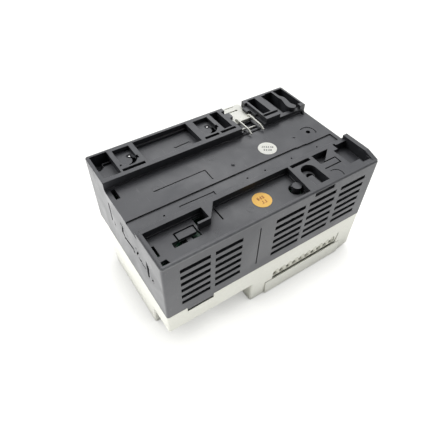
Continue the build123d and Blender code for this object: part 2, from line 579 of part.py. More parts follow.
def terminal_contacts(row_x, count):
    """Bent contact tags that carry each terminal to the board."""
    tags = []
    for i in range(count):
        x = row_x + (i + 0.5) * TERMINAL_PITCH
        tag = block(x - 1.7, x + 1.7, 4.8, 12.4, 10.2, 11.2)
        tag += block(x - 1.7, x + 1.7, 11.4, 12.4, 10.2, 17.4)
        tags.append(tag - column(x, 8.0, 1.3, 9, 12))
    return tags


def terminal_cover(row_x, count):
    """Hinged cover over the screws, with a lip down the side and an end pin each side."""
    x0, x1 = cover_span(row_x, count)
    xa, xb = row_x, row_end(row_x, count)
    hinge_y, hinge_z = COVER_HINGE_Y, COVER_HINGE_Z
    plate = block(x0, x1, -COVER_PROUD, hinge_y, 0.5, 2.2)
    lip = prism_x([(0.5, 0.5), (0.5, COVER_LIP_TOP), (COVER_LEAN - COVER_PROUD, COVER_LIP_TOP),
                   (-COVER_PROUD, 2.2), (-COVER_PROUD, 0.5)], x0, x1)
    cover = plate + lip
    edges = cover.edges().filter_by(Axis.X).group_by(Axis.Z)[0].sort_by(Axis.Y)[0]
    cover = fillet(edges, 1.0)
    for x in (xa + 2, xb - 2):
        cover += block(x - 0.6, x + 0.6, 0.3, 1.9, 2.0, 3.6)
    for i in range(1, count):
        x = row_x + i * TERMINAL_PITCH
        cover -= block(x - 0.25, x + 0.25, 2.5, 14.5, 0.4, 0.8)
    cover += rod_x(hinge_y, hinge_z, 1.5, x0, x1)
    cover += rod_x(hinge_y, hinge_z, PIN_R, x0 - 2.0, x1 + 2.0)
    return cover


# ---- Small doors and operating pieces on the front ----------------------
def small_door(door):
    """Door hinged along its left edge, with a thumb recess at its free edge."""
    x0, x1, y0, y1 = door
    leaf = block(x0 + 1.2, x1, y0, y1, 0.2, 0.2 + DOOR_T)
    corners = leaf.edges().filter_by(Axis.Z).sort_by(Axis.X)[-2:]
    leaf = fillet(corners, 1.2)
    middle = (y0 + y1) / 2
    leaf -= block(x1 - 3.2, x1 - 1.6, middle - 5, middle + 5, 0, 0.9)
    leaf += rod_y(x0 + 1.2, 1.3, DOOR_HINGE_R, y0, y1)
    leaf += rod_y(x0 + 1.2, 1.3, DOOR_PIN_R, y0 - 1.2, y1 + 1.2)
    return leaf


def comm_port():
    """Round socket shell on the processor board."""
    x, y, radius = PORT
    shell = column(x, y, radius, 3.4, CPU_BOARD_Z[0] - 0.05)
    shell -= column(x, y, 4.6, 3.0, 9.6)
    shell += column(x, y, 3.6, 5.4, 9.8)
    for i in range(8):
        a = radians(30 + 300 * i / 7)
        shell -= column(x + 2.4 * cos(a), y + 2.4 * sin(a), 0.45, 5.0, 9.0)
    shell -= block(x - 1.1, x + 1.1, y - 6.0, y - 4.2, 3.0, 6.0)
    return shell


def trim_knob(x, y):
    """Turning knob with a screwdriver slot and a pointer notch."""
    knob = column(x, y, 2.6, 5.0, 9.3)
    knob -= block(x - 2.0, x + 2.0, y - 0.4, y + 0.4, 4.5, 6.2)
    knob -= block(x + 1.9, x + 2.8, y - 0.3, y + 0.3, 4.5, 5.6)
    return knob


def trim_base(x, y):
    return block(x - 3.1, x + 3.1, y - 3.1, y + 3.1, 9.4, CPU_BOARD_Z[0] - 0.05)


def reset_button():
    x, y = RESET
    return column(x, y, 1.7, 5.2, 9.1) + column(x, y, 2.6, 9.05, 9.55)


def reset_base():
    x, y = RESET
    return block(x - 3, x + 3, y - 3, y + 3, 10.4, CPU_BOARD_Z[0] - 0.05)


def mode_switch_lever():
    x, y = SWITCH
    start = y - SWITCH_TRAVEL / 2
    lever = block(x - 1.2, x + 1.2, start - 1.3, start + 1.3, 4.4, 9.4)
    lever -= block(x - 2, x + 2, start - 0.25, start + 0.25, 4.0, 5.0)
    return lever


def mode_switch_base():
    x, y = SWITCH
    base = block(x - 3.0, x + 3.0, y - 5.6, y + 5.6, 9.2, CPU_BOARD_Z[0] - 0.05)
    return base - block(x - 1.5, x + 1.5, y - 3.7, y + 3.7, 9.0, 9.6)


def led_window(index):
    """Clear strip seated from inside, with a step that stops it falling out."""
    x0, x1, y0, y1 = LED_WINDOWS[index]
    strip = block(x0 + 0.1, x1 - 0.1, y0 + 0.1, y1 - 0.1, 0.15, 1.3)
    return strip + block(x0 - 0.9, x1 + 0.9, y0 - 0.9, y1 + 0.9, 1.15, 2.4)


def leds():
    """Indicator lamps under both windows."""
    lamps = []
    for (x0, x1, y0, y1), count in zip(LED_WINDOWS, LED_COUNT):
        step = (x1 - x0 - 4) / count
        for i in range(count):
            x, y = x0 + 2 + (i + 0.5) * step, (y0 + y1) / 2
            lamps.append(column(x, y, 1.4, 7.6, CPU_BOARD_Z[0] - 0.05) + Pos(x, y, 7.6) * Sphere(1.4))
    return lamps


def battery_holder():
    x, y, radius = BATTERY
    holder = column(x, y, radius + 1.5, 7.9, CPU_BOARD_Z[0] - 0.05)
    holder -= column(x, y, radius + 0.2, 7.0, 10.4)
    return holder - block(x + 6, x + 13, y - 4, y + 4, 7.0, 10.4)


def coin_cell():
    x, y, radius = BATTERY
    cell = column(x, y, radius, 7.2, 10.3)
    rim = cell.edges().filter_by(GeomType.CIRCLE).sort_by(Axis.Z)[0]
    return fillet(rim, 0.6)


# ---- Boards, frame and electronics --------------------------------------
def board(x0, x1, y0, y1, z_range, holes):
    plate = block(x0, x1, y0, y1, *z_range)
    return plate.cut(*[column(x, y, r, z_range[0] - 1, z_range[1] + 1) for x, y, r in holes])


def power_board():
    holes = [(x, y, 3.8) for x, y, seat in CASE_SCREWS] + [(x, y, 1.6) for x, y in POWER_SCREWS]
    holes.append((*STUD, STUD_RING_R + 0.4))
    return board(3.4, 139.6, 4.0, 86.0, POWER_BOARD_Z, holes)


def io_board():
    holes = [(x, y, 1.6) for x, y in IO_SCREWS] + [(x, y, 1.5) for x, y in SPACERS]
    plate = board(4.0, 139.0, 3.6, 86.4, IO_BOARD_Z, holes)
    corners = [(x, y) for x in (3.4, LENGTH - 3.4) for y in (3.4, DEPTH - 3.4)]
    return plate.cut(*[column(x, y, 2.6, 20, 27) for x, y in corners])


def cpu_board():
    return board(3.4, 138.0, 23.0, 71.2, CPU_BOARD_Z, [(x, y, 1.5) for x, y in SPACERS])


def inner_frame():
    """Open carrier that holds the boards, with posts for the case screws."""
    z0, z1 = FRAME_Z
    frame = block(3.6, LENGTH - 3.6, 3.6, DEPTH - 3.6, z0, z1)
    for x0, x1 in ((18.0, 66.0), (81.0, 125.0)):
        frame -= block(x0, x1, 22.0, 68.0, z0 - 1, z1 + 1)
    for x, y, seat in CASE_SCREWS:
        frame += column(x, y, 3.4, z1 - 0.5, min(seat - 2.0, CEILING_Z) - 0.1)
    for x, y in IO_SCREWS:
        frame += column(x, y, 3.0, IO_BOARD_Z[1] + 0.1, z0 + 0.5)
    for x, y, seat in CASE_SCREWS:
        frame -= column(x, y, SCREW_SHANK_R + 0.05, 54.0, CEILING_Z + 1)
    for x, y in IO_SCREWS:
        frame -= column(x, y, 1.3, IO_BOARD_Z[1] - 1, z1 + 1)
    return frame


def pan_screw(x, y, head_z, head_r, head_t, shank_r, tip_z):
    """Cross-slotted screw; the shank runs from the head towards tip_z."""
    up = 1 if tip_z > head_z else -1
    z = sorted((head_z, head_z - up * head_t))
    screw = column(x, y, head_r, *z)
    screw += column(x, y, shank_r, *sorted((head_z - up * 0.1, tip_z)))
    outer = head_z - up * head_t
    cut = sorted((outer - up * 0.5, outer + up * 0.8))
    screw -= block(x - head_r * 0.6, x + head_r * 0.6, y - 0.35, y + 0.35, *cut)
    screw -= block(x - 0.35, x + 0.35, y - head_r * 0.6, y + head_r * 0.6, *cut)
    return screw


def case_screws():
    return [pan_screw(x, y, seat + 0.05, SCREW_HEAD_R, 1.5, SCREW_SHANK_R, 56.0)
            for x, y, seat in CASE_SCREWS]


def board_screws():
    screws = [pan_screw(x, y, POWER_BOARD_Z[0] - 0.05, 2.5, 1.6, 1.25, 72.0) for x, y in POWER_SCREWS]
    for x, y in IO_SCREWS:
        screws.append(pan_screw(x, y, IO_BOARD_Z[0] - 0.05, 2.5, 1.6, 1.25, FRAME_Z[1] - 0.3))
    return screws


def board_spacers():
    z0, z1 = CPU_BOARD_Z[1] + 0.05, IO_BOARD_Z[0] - 0.05
    return [column(x, y, 2.4, z0, z1) + column(x, y, 1.4, CPU_BOARD_Z[0] - 0.5, IO_BOARD_Z[1] + 0.5)
            for x, y in SPACERS]


def transformer_core():
    core = block(52.0, 74.0, 40.0, 62.0, 40.0, POWER_BOARD_Z[0] - 3.0)
    return core - block(56.0, 70.0, 39.0, 63.0, 44.0, 59.0)


def transformer_winding():
    winding = soft_block(56.3, 69.7, 37.0, 65.0, 44.3, 58.7, 3.0)
    return winding


def transformer_base():
    base = block(51.0, 75.0, 37.0, 65.0, 63.5, POWER_BOARD_Z[0] - 0.05)
    return base


def capacitor(x, y, radius, height):
    top = POWER_BOARD_Z[0] - 0.05
    can = column(x, y, radius, top - height, top)
    can = fillet(can.edges().filter_by(GeomType.CIRCLE).sort_by(Axis.Z)[0], 0.8)
    can -= block(x - radius * 0.7, x + radius * 0.7, y - 0.25, y + 0.25, top - height - 1, top - height + 0.4)
    return can


def capacitors():
    places = [(88.0, 34.0, 8.0, 25.0), (106.0, 34.0, 8.0, 25.0), (86.0, 56.0, 5.0, 20.0),
              (98.0, 56.0, 5.0, 20.0), (110.0, 56.0, 4.0, 12.0)]
    return [capacitor(*place) for place in places]


def line_choke():
    """Wound ring on the supply input."""
    top = POWER_BOARD_Z[0] - 0.05
    ring = Pos(117.0, 46.5, top - 9.5) * Rot(90, 0, 0) * Torus(6.4, 3.0)
    return ring


def heat_sink():
    sink = block(22.0, 44.0, 56.0, 58.5, 40.0, POWER_BOARD_Z[0] - 0.05)
    for i in range(5):
        x = 22.0 + i * 5.1
        sink += block(x, x + 1.6, 58.0, 68.0, 40.0, POWER_BOARD_Z[0] - 0.05)
    return sink


def power_transistors():
    return [block(x, x + 10, 51.2, 55.9, 44.0, 59.0) for x in (22.5, 33.5)]


def fuse_holder():
    top = POWER_BOARD_Z[0] - 0.05
    holder = block(112.0, 134.0, 66.0, 73.0, top - 1.5, top)
    for x in (112.0, 130.5):
        holder += block(x, x + 3.5, 66.0, 73.0, top - 7.5, top - 1.4)
    return holder - rod_x(69.5, top - 5.0, 2.6, 111, 135)


def fuse():
    return rod_x(69.5, POWER_BOARD_Z[0] - 5.05, 2.5, 113.0, 133.0)


def relays():
    """Output relays in a row behind the far terminals."""
    base = IO_BOARD_Z[1] + 0.05
    return [soft_block(x, x + 7.2, 30.0, 50.0, base, base + 12.5, 0.6) for x in
            [83.0 + i * 8.4 for i in range(5)]]


def optocouplers():
    base = IO_BOARD_Z[1] + 0.05
    return [block(x, x + 9.6, 34.0, 40.4, base, base + 3.6) for x in
            [19.0 + i * 11.4 for i in range(4)]]


def processor_chip():
    base = CPU_BOARD_Z[1] + 0.05
    return block(60.0, 80.0, 37.0, 57.0, base, base + 1.6)


def memory_chips():
    base = CPU_BOARD_Z[1] + 0.05
    return [block(x, x + 10.0, 41.0, 49.0, base, base + 1.2) for x in (85.0, 47.0)]


def board_header(x0, x1, y0, z0, z1):
    """Pin header joining two boards."""
    return block(x0, x1, y0, y0 + 5.0, z0 + 0.05, z1 - 0.05)


def expansion_socket():
    """Box header behind the cover in the right end wall."""
    body = block(128.4, 140.0, 31.0, 59.0, 47.0, 56.0)
    return body - block(131.0, 141.0, 32.4, 57.6, 48.4, 54.6)


def expansion_cover():
    """Snap-in cover that closes the expansion opening."""
    cover = block(LENGTH - 1.3, LENGTH - 0.1, 28.2, 61.8, 44.2, 58.8)
    rim = block(LENGTH - 2.6, LENGTH - 1.2, 30.2, 59.8, 46.2, 56.8)
    rim -= block(LENGTH - 3, LENGTH - 1, 31.6, 58.4, 47.6, 55.4)
    grip = block(LENGTH - 0.6, LENGTH, 41.0, 49.0, 45.0, 46.2)
    return cover + rim - grip


def expansion_cuts():
    return [block(LENGTH - 1.4, LENGTH + 1, 28.0, 62.0, 44.0, 59.0),
            block(LENGTH - 3, LENGTH + 1, 30.0, 60.0, 46.0, 57.0)]


def label_disc(x, y, radius, z):
    return column(x, y, radius, z, z + 0.15)


# ---- Build --------------------------------------------------------------
def main():
    os.makedirs("parts", exist_ok=True)
    rear = rear_housing().cut(*expansion_cuts())
    save("rear_housing", rear)
    save("front_housing", front_housing())
    save("din_latch", din_latch())
    save("latch_spring", latch_spring())
    save("case_screws", case_screws())
    save("inner_frame", inner_frame())
    save("power_board", power_board())
    save("io_board", io_board())
    save("cpu_board", cpu_board())
    save("board_screws", board_screws())
    save("board_spacers", board_spacers())

    near = (NEAR_ROW_X, NEAR_TERMINALS)
    far = (FAR_ROW_X, FAR_TERMINALS)
    save("near_terminal_block", terminal_block(*near))
    save("near_terminal_screws", terminal_screws(*near))
    save("near_terminal_clamps", terminal_clamps(*near))
    save("near_terminal_contacts", terminal_contacts(*near))
    save("near_terminal_cover", terminal_cover(*near))
    save("far_terminal_block", mirror_y(terminal_block(*far)))
    save("far_terminal_screws", [mirror_y(s) for s in terminal_screws(*far)])
    save("far_terminal_clamps", [mirror_y(s) for s in terminal_clamps(*far)])
    save("far_terminal_contacts", [mirror_y(s) for s in terminal_contacts(*far)])
    save("far_terminal_cover", mirror_y(terminal_cover(*far)))

    save("comm_door", small_door(COMM_DOOR))
    save("battery_door", small_door(BATTERY_DOOR))
    save("comm_port", comm_port())
    for number, (x, y) in enumerate(TRIMMERS, 1):
        save(f"trim_knob_{number}", trim_knob(x, y))
        save(f"trim_base_{number}", trim_base(x, y))
    save("reset_button", reset_button())
    save("reset_base", reset_base())
    save("mode_switch_lever", mode_switch_lever())
    save("mode_switch_base", mode_switch_base())
    save("input_led_window", led_window(0))
    save("output_led_window", led_window(1))
    save("leds", leds())
    save("battery_holder", battery_holder())
    save("coin_cell", coin_cell())

    save("transformer_core", transformer_core())
    save("transformer_winding", transformer_winding())
    save("transformer_base", transformer_base())
    save("capacitors", capacitors())
    save("line_choke", line_choke())
    save("heat_sink", heat_sink())
    save("power_transistors", power_transistors())
    save("fuse_holder", fuse_holder())
    save("fuse", fuse())
    save("relays", relays())
    save("optocouplers", optocouplers())
    save("processor_chip", processor_chip())
    save("memory_chips", memory_chips())
    save("cpu_header", board_header(86.0, 104.0, 60.0, CPU_BOARD_Z[1], IO_BOARD_Z[0]))
    save("power_header", board_header(84.0, 104.0, 62.5, IO_BOARD_Z[1], POWER_BOARD_Z[0]))
    save("expansion_socket", expansion_socket())
    save("expansion_cover", expansion_cover())
    save("round_label_white", label_disc(97.5, 46.2, 5.75, RAIL_SEAT_Z))
    save("round_label_orange", label_disc(69.0, 14.4, 5.5, POCKET_Z))


main()
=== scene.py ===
import json
import math
import random

import bmesh
import bpy
from mathutils import Matrix, Vector

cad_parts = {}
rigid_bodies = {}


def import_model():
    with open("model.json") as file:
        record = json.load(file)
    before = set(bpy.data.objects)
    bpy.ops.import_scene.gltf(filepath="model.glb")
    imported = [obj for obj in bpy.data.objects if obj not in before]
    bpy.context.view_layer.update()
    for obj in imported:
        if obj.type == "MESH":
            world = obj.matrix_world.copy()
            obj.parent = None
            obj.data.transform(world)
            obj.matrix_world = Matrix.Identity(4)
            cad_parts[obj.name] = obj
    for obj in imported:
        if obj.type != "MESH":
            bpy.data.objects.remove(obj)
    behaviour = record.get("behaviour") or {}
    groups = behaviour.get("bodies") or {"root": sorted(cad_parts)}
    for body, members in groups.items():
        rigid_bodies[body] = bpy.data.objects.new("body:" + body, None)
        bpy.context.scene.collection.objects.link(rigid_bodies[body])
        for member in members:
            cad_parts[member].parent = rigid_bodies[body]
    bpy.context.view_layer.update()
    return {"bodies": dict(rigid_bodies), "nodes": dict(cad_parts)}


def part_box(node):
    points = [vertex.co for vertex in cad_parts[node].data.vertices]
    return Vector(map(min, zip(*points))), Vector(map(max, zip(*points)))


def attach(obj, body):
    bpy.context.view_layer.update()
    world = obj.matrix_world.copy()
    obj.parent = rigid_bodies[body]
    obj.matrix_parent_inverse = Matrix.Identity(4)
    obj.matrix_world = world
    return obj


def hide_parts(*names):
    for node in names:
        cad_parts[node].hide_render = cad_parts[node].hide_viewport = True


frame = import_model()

MM = 0.001
NODES = frame["nodes"]

# Places on the object in the shared frame. Plain numbers are millimetres; MM turns them to metres.
CASE_SCREWS = [(-48.6, 35.9), (4.9, 35.9), (33.4, -34.4)]
NEAR_SCREW_DROP = 5.3           # the third screw sits this much deeper than the others
POWER_BOARD_FACE = 68.0         # z of the board faces that carry small parts
IO_BOARD_FACE = 22.6
CPU_BOARD_FACE = 13.0
RIM = (-44.6 * MM, 77.4 * MM)   # middle of the near rim's rounding, y and z
HALF_CASE = (71.5 * MM, 45.0 * MM)
LAMP_PANEL_X = 29.5             # printed panels round the lamp windows: half length, y range
LAMP_PANEL_Y = (13.2, 24.5)
LAMP_ROW_X = 25.5               # ticks by the lamps: half length of the row, y range
LAMP_ROW_Y = (22.0, 23.2)
LAMPS = {-1: 14, 1: 10}         # lamps in the near and the far row
# Places kept clear of small parts on the power board, each with a radius: the board screws,
# the case screws and the stud by the near rim.
POWER_KEEP_OUT = [(x, y, 5.0) for x in (-63.5, 63.5) for y in (-11, 13)]
POWER_KEEP_OUT += [(x, y, 5.5) for x, y in CASE_SCREWS]
POWER_KEEP_OUT += [(18.7, -34.1, 6.5)]

# Camera: where it looks, from which side, how far away.
AIM = Vector((-12.9, -1.3, 40.0)) * MM
CAMERA_AZIMUTH = -34.33
CAMERA_ELEVATION = 47.69
CAMERA_ROLL = 1.35
CAMERA_DISTANCE = 258.4 * MM
LENS = 34.46

# Studio: a big soft window behind and above, a bright white floor, a dark room in front.
WINDOW_HEADING = Vector((0.56, 0.83, 0.0)).normalized()
WINDOW_SIDE = Vector((0.98, -0.2, 0.0)).normalized()
WINDOW_EDGE = (-0.10, 0.22)     # the window fades in between these, along its heading
WINDOW_FOOT = (0.12, 0.4)       # and between these, upwards
WINDOW_GLOW = 2.0
ROOM_GLOW = 0.04
BELOW_GLOW = 1.3                # light from under the horizon
FLOOR_COLOUR = (0.22, 0.22, 0.215)
FLOOR_SHADE = (0.34, 0.98)      # how pale the floor looks in the shadow, and in the open
FLOOR_SIDE = 30.0               # half the side of the floor sheet, metres
FLOOR_GLOW = (1.62, 2.45)       # light bounced from the floor in front, and behind on the left
FLOOR_UNDER = 0.05              # share of it left under the object
FLOOR_REACH = 16 * MM           # it comes back to full strength this far from the case
FLOOR_DROP = 0.15 * MM          # gap between the object and the floor
CONTACT_REACH = 26 * MM         # reach of the soft shadow round the object

# Base colours, linear.
DARK = (0.062, 0.064, 0.072)
LIGHT = (0.775, 0.775, 0.70)


# ---- Materials ----------------------------------------------------------
class Graph:
    """Builds one node material with short calls."""

    def __init__(self, name):
        self.material = bpy.data.materials.new(name)
        self.material.use_nodes = True
        self.tree = self.material.node_tree
        self.tree.nodes.clear()
        self.out = self.tree.nodes.new("ShaderNodeOutputMaterial")
        self.bsdf = self.tree.nodes.new("ShaderNodeBsdfPrincipled")
        self.tree.links.new(self.bsdf.outputs[0], self.out.inputs[0])
        self.coords = self.add("ShaderNodeTexCoord").outputs["Object"]

    @classmethod
    def reopen(cls, material):
        """Takes up a finished material, to add to it."""
        graph = cls.__new__(cls)
        graph.material = material
        graph.tree = material.node_tree
        graph.bsdf = next(n for n in graph.tree.nodes if n.type == "BSDF_PRINCIPLED")
        graph.coords = next(n for n in graph.tree.nodes if n.type == "TEX_COORD").outputs["Object"]
        return graph

    def add(self, kind, inputs=None, **props):
        """Adds a node; inputs take plain values or sockets."""
        node = self.tree.nodes.new(kind)
        for key, value in props.items():
            setattr(node, key, value)
        for key, value in (inputs or {}).items():
            self.set(node.inputs[key], value)
        return node

    def set(self, socket, value):
        if isinstance(value, bpy.types.NodeSocket):
            self.tree.links.new(value, socket)
        else:
            socket.default_value = value

    def surface(self, **values):
        names = {"color": "Base Color", "roughness": "Roughness", "metallic": "Metallic",
                 "normal": "Normal", "specular": "Specular IOR Level", "ior": "IOR",
                 "transmission": "Transmission Weight"}
        for key, value in values.items():
            self.set(self.bsdf.inputs[names[key]], value)

    def noise(self, scale, detail=3.0, roughness=0.55, vector=None, distortion=0.0):
        node = self.add("ShaderNodeTexNoise", {"Vector": vector or self.coords, "Scale": scale,
                        "Detail": detail, "Roughness": roughness, "Distortion": distortion})
        return node.outputs["Fac"]

    def cells(self, scale):
        node = self.add("ShaderNodeTexVoronoi", {"Vector": self.coords, "Scale": scale})
        return node.outputs["Distance"]

    def math(self, operation, a, b=0.0):
        node = self.add("ShaderNodeMath", operation=operation)
        self.set(node.inputs[0], a)
        self.set(node.inputs[1], b)
        return node.outputs[0]

    def span(self, value, low, high, to_low=0.0, to_high=1.0):
        """Maps low..high to to_low..to_high and holds the ends."""
        node = self.add("ShaderNodeMapRange", {"Value": value, "From Min": low, "From Max": high,
                        "To Min": to_low, "To Max": to_high}, clamp=True)
        return node.outputs[0]

    def mix(self, factor, a, b):
        node = self.add("ShaderNodeMix", data_type="RGBA")
        self.set(node.inputs["Factor"], factor)
        self.set(node.inputs["A"], a)
        self.set(node.inputs["B"], b)
        return node.outputs["Result"]

    def axis(self, name):
        split = self.add("ShaderNodeSeparateXYZ", {0: self.coords})
        return split.outputs[name]

    def bevel(self, radius):
        return self.add("ShaderNodeBevel", {"Radius": radius}, samples=4).outputs[0]

    def bump(self, height, distance, strength=1.0, normal=None):
        node = self.add("ShaderNodeBump", {"Height": height, "Distance": distance,
                        "Strength": strength})
        if normal is not None:
            self.set(node.inputs["Normal"], normal)
        return node.outputs[0]

    def edge_mask(self, radius, low, high):
        """1 close to a sharp edge, 0 on flat ground."""
        rounded = self.bevel(radius)
        flat = self.add("ShaderNodeNewGeometry").outputs["Normal"]
        dot = self.add("ShaderNodeVectorMath", operation="DOT_PRODUCT")
        self.set(dot.inputs[0], rounded)
        self.set(dot.inputs[1], flat)
        return self.span(dot.outputs["Value"], 1.0 - low, 1.0 - high)

    def scratches(self, angle, scale, amount):
        """Thin random lines in one direction."""
        turned = self.add("ShaderNodeMapping", {"Vector": self.coords, "Rotation": (0.3, 0.2, angle),
                          "Scale": (scale, scale * 0.11, scale * 0.3)}).outputs[0]
        line = self.noise(1.0, 2.0, 0.5, turned)
        return self.span(line, 0.70 - amount, 0.74 - amount * 0.6)

    def up_mask(self):
        """1 on faces that look up."""
        normal = self.add("ShaderNodeNewGeometry").outputs["Normal"]
        split = self.add("ShaderNodeSeparateXYZ", {0: normal})
        return self.span(split.outputs["Z"], 0.3, 0.95)

    def occlusion(self, reach):
        return self.add("ShaderNodeAmbientOcclusion", {"Distance": reach}, samples=4).outputs["AO"]


def rgb(r, g, b):
    return (r, g, b, 1.0)


def shade(colour, factor):
    return rgb(*[min(1.0, c * factor) for c in colour])


def rim_highlight_mask(g):
    """1 along the rounded near rim of the rear housing, strongest at its left corner; it places a
    painted highlight.
    """
    rise = g.math("SUBTRACT", g.axis("Z"), RIM[1])
    out = g.math("SUBTRACT", g.axis("Y"), RIM[0])
    square = g.math("ADD", g.math("MULTIPLY", rise, rise), g.math("MULTIPLY", out, out))
    far = g.math("SQRT", square)
    band = g.span(far, 0.5 * MM, 1.5 * MM, 1.0, 0.0)
    fade = g.span(g.axis("X"), -HALF_CASE[0], 0.2 * HALF_CASE[0], 1.0, 0.25)
    return g.math("MULTIPLY", band, fade)


def moulded_plastic(name, base, worn_and_highlight, roughness, grain=0.012, edge_wear_and_highlight=0.5, dust=0.08, corner_shade=0.35,
                    rim_highlight=0.0):
    """Moulded plastic: spark texture, mottled tone, scuffed edges that also carry a painted highlight,
    dust, and painted shade in corners.

    The colour after base goes on scuffed edges, on scratches and into the painted highlights on edges
    and along the near rim;
    grain is the depth of the texture in millimetres; the edge, dust, corner and rim strengths run from
    0 to 1.
    """
    g = Graph(name)
    tone = g.noise(11.0, 4.0, 0.6)
    fine = g.noise(900.0, 3.0, 0.6)
    spark = g.cells(3200.0)
    pits = g.noise(5200.0, 2.0, 0.5)
    colour = g.mix(g.span(tone, 0.3, 0.7), shade(base, 0.94), shade(base, 1.06))
    colour = g.mix(g.span(fine, 0.35, 0.7, 0, 0.35), colour, shade(base, 0.86))
    film = g.math("MULTIPLY", g.span(g.noise(30.0, 5.0, 0.65), 0.45, 0.8), g.up_mask())
    specks = g.span(g.cells(420.0), 0.13, 0.04)
    specks = g.math("MULTIPLY", specks, g.span(g.noise(160.0), 0.55, 0.66))
    dust_all = g.math("MAXIMUM", g.math("MULTIPLY", film, dust * 0.5),
                      g.math("MULTIPLY", specks, dust * 2))
    colour = g.mix(dust_all, colour, rgb(0.5, 0.49, 0.45))
    # Painted shade: the colour darkens where ambient occlusion finds nearby surfaces, in corners and
    # recesses.
    corner = g.span(g.occlusion(5.0 * MM), 0.25, 0.85, corner_shade, 0.0)
    colour = g.mix(corner, colour, shade(base, 0.3))
    # Scuffed edges lighten: partly real abrasion, partly a painted highlight on rounded edges.
    edge = g.edge_mask(0.4 * MM, 0.02, 0.22)
    edge_rub_and_highlight = g.math("MULTIPLY", edge, g.span(g.noise(120.0, 5.0, 0.7), 0.3, 0.65))
    colour = g.mix(g.math("MULTIPLY", edge_rub_and_highlight, edge_wear_and_highlight), colour, rgb(*worn_and_highlight))
    # Painted highlight: a pale patchy band along the rounded near rim.
    if rim_highlight:
        patchy = g.span(g.noise(240.0, 5.0, 0.7), 0.25, 0.6, 0.45, 1.0)
        rim_highlight_patch = g.math("MULTIPLY", rim_highlight_mask(g), patchy)
        colour = g.mix(g.math("MULTIPLY", rim_highlight_patch, rim_highlight), colour, rgb(*worn_and_highlight))
    marks = g.math("MAXIMUM", g.scratches(0.5, 900.0, 0.01), g.scratches(2.1, 700.0, 0.01))
    colour = g.mix(g.math("MULTIPLY", marks, 0.12), colour, rgb(*worn_and_highlight))
    smear = g.noise(38.0, 5.0, 0.62, distortion=0.8)
    rough = g.span(smear, 0.3, 0.7, roughness - 0.09, roughness + 0.09)
    rough = g.math("ADD", rough, g.math("MULTIPLY", dust_all, 0.4))
    rough = g.math("SUBTRACT", rough, g.math("MULTIPLY", edge_rub_and_highlight, 0.12))
    height = g.math("ADD", g.math("MULTIPLY", spark, 0.6), g.math("MULTIPLY", pits, 0.7))
    normal = g.bump(height, grain * MM, 1.0, g.bevel(0.3 * MM))
    normal = g.bump(g.noise(60.0, 2.0), 0.08 * MM, 0.1, normal)
    g.surface(color=colour, roughness=rough, normal=normal)
    return g.material


def metal(name, base, roughness, tint=0.12, grain_angle=0.9):
    """Plated or bare metal with fine drawing lines and a patchy tarnish."""
    g = Graph(name)
    tone = g.noise(220.0, 4.0, 0.6)
    colour = g.mix(g.span(tone, 0.3, 0.7), shade(base, 1 - tint), rgb(*base))
    stain = g.span(g.occlusion(1.0 * MM), 0.3, 0.9, 0.5, 0.0)
    colour = g.mix(stain, colour, shade(base, 0.3))
    streak = g.scratches(grain_angle, 4000.0, 0.05)
    rough = g.math("ADD", g.span(tone, 0.3, 0.7, roughness - 0.06, roughness + 0.08),
                   g.math("MULTIPLY", streak, 0.12))
    normal = g.bump(streak, 0.004 * MM, 0.6, g.bevel(0.12 * MM))
    g.surface(color=colour, roughness=rough, metallic=1.0, normal=normal)
    return g.material


def printed_front(plain):
    """The light plastic with grey panels printed round the lamp windows, and a tick by each lamp."""
    material = plain.copy()
    material.name = "printed_front_plastic"
    g = Graph.reopen(material)
    face = g.span(g.axis("Z"), 0.05 * MM, 0.1 * MM, 1.0, 0.0)
    soft = 0.06

    def between(value, low, high):
        rising = g.span(value, (low - soft) * MM, (low + soft) * MM)
        falling = g.span(value, (high - soft) * MM, (high + soft) * MM, 1.0, 0.0)
        return g.math("MULTIPLY", rising, falling)

    def box(half, y_range, side):
        low, high = sorted(side * y for y in y_range)
        return g.math("MULTIPLY", between(g.axis("X"), -half, half), between(g.axis("Y"), low, high))

    colour = g.bsdf.inputs["Base Color"].links[0].from_socket
    panels = g.math("MAXIMUM", *[box(LAMP_PANEL_X, LAMP_PANEL_Y, side) for side in LAMPS])
    colour = g.mix(g.math("MULTIPLY", panels, face), colour, rgb(0.16, 0.19, 0.22))
    for side, count in LAMPS.items():
        step = 2 * LAMP_ROW_X / count * MM
        part = g.math("FRACT", g.math("DIVIDE", g.math("ADD", g.axis("X"), LAMP_ROW_X * MM), step))
        dash = g.math("MULTIPLY", g.span(part, 0.33, 0.35), g.span(part, 0.65, 0.67, 1.0, 0.0))
        row = g.math("MULTIPLY", g.math("MULTIPLY", dash, box(LAMP_ROW_X, LAMP_ROW_Y, side)), face)
        colour = g.mix(row, colour, rgb(0.7, 0.71, 0.68))
    g.surface(color=colour)
    return material


def driver_worn_screw():
    """Black-finished screw; a driver has scuffed the middle of each head bright."""
    g = Graph("black_screw_steel")
    here = g.add("ShaderNodeCombineXYZ", {"X": g.axis("X"), "Y": g.axis("Y")}).outputs[0]
    nearest = 1.0
    for x, y in CASE_SCREWS:
        away = g.add("ShaderNodeVectorMath", {0: here, 1: (x * MM, y * MM, 0)}, operation="DISTANCE")
        nearest = g.math("MINIMUM", nearest, away.outputs["Value"])
    bright = g.span(g.math("ADD", nearest, g.math("MULTIPLY", g.noise(1500.0), 0.2 * MM)),
                    0.55 * MM, 0.75 * MM, 1.0, 0.0)
    tone = g.noise(800.0, 3.0)
    colour = g.mix(bright, g.mix(tone, rgb(0.02, 0.02, 0.022), rgb(0.05, 0.05, 0.055)),
                   rgb(0.75, 0.75, 0.74))
    g.surface(color=colour, metallic=0.9, roughness=g.span(bright, 0, 1, 0.5, 0.3),
              normal=g.bump(tone, 0.01 * MM, 0.6, g.bevel(0.15 * MM)))
    return g.material


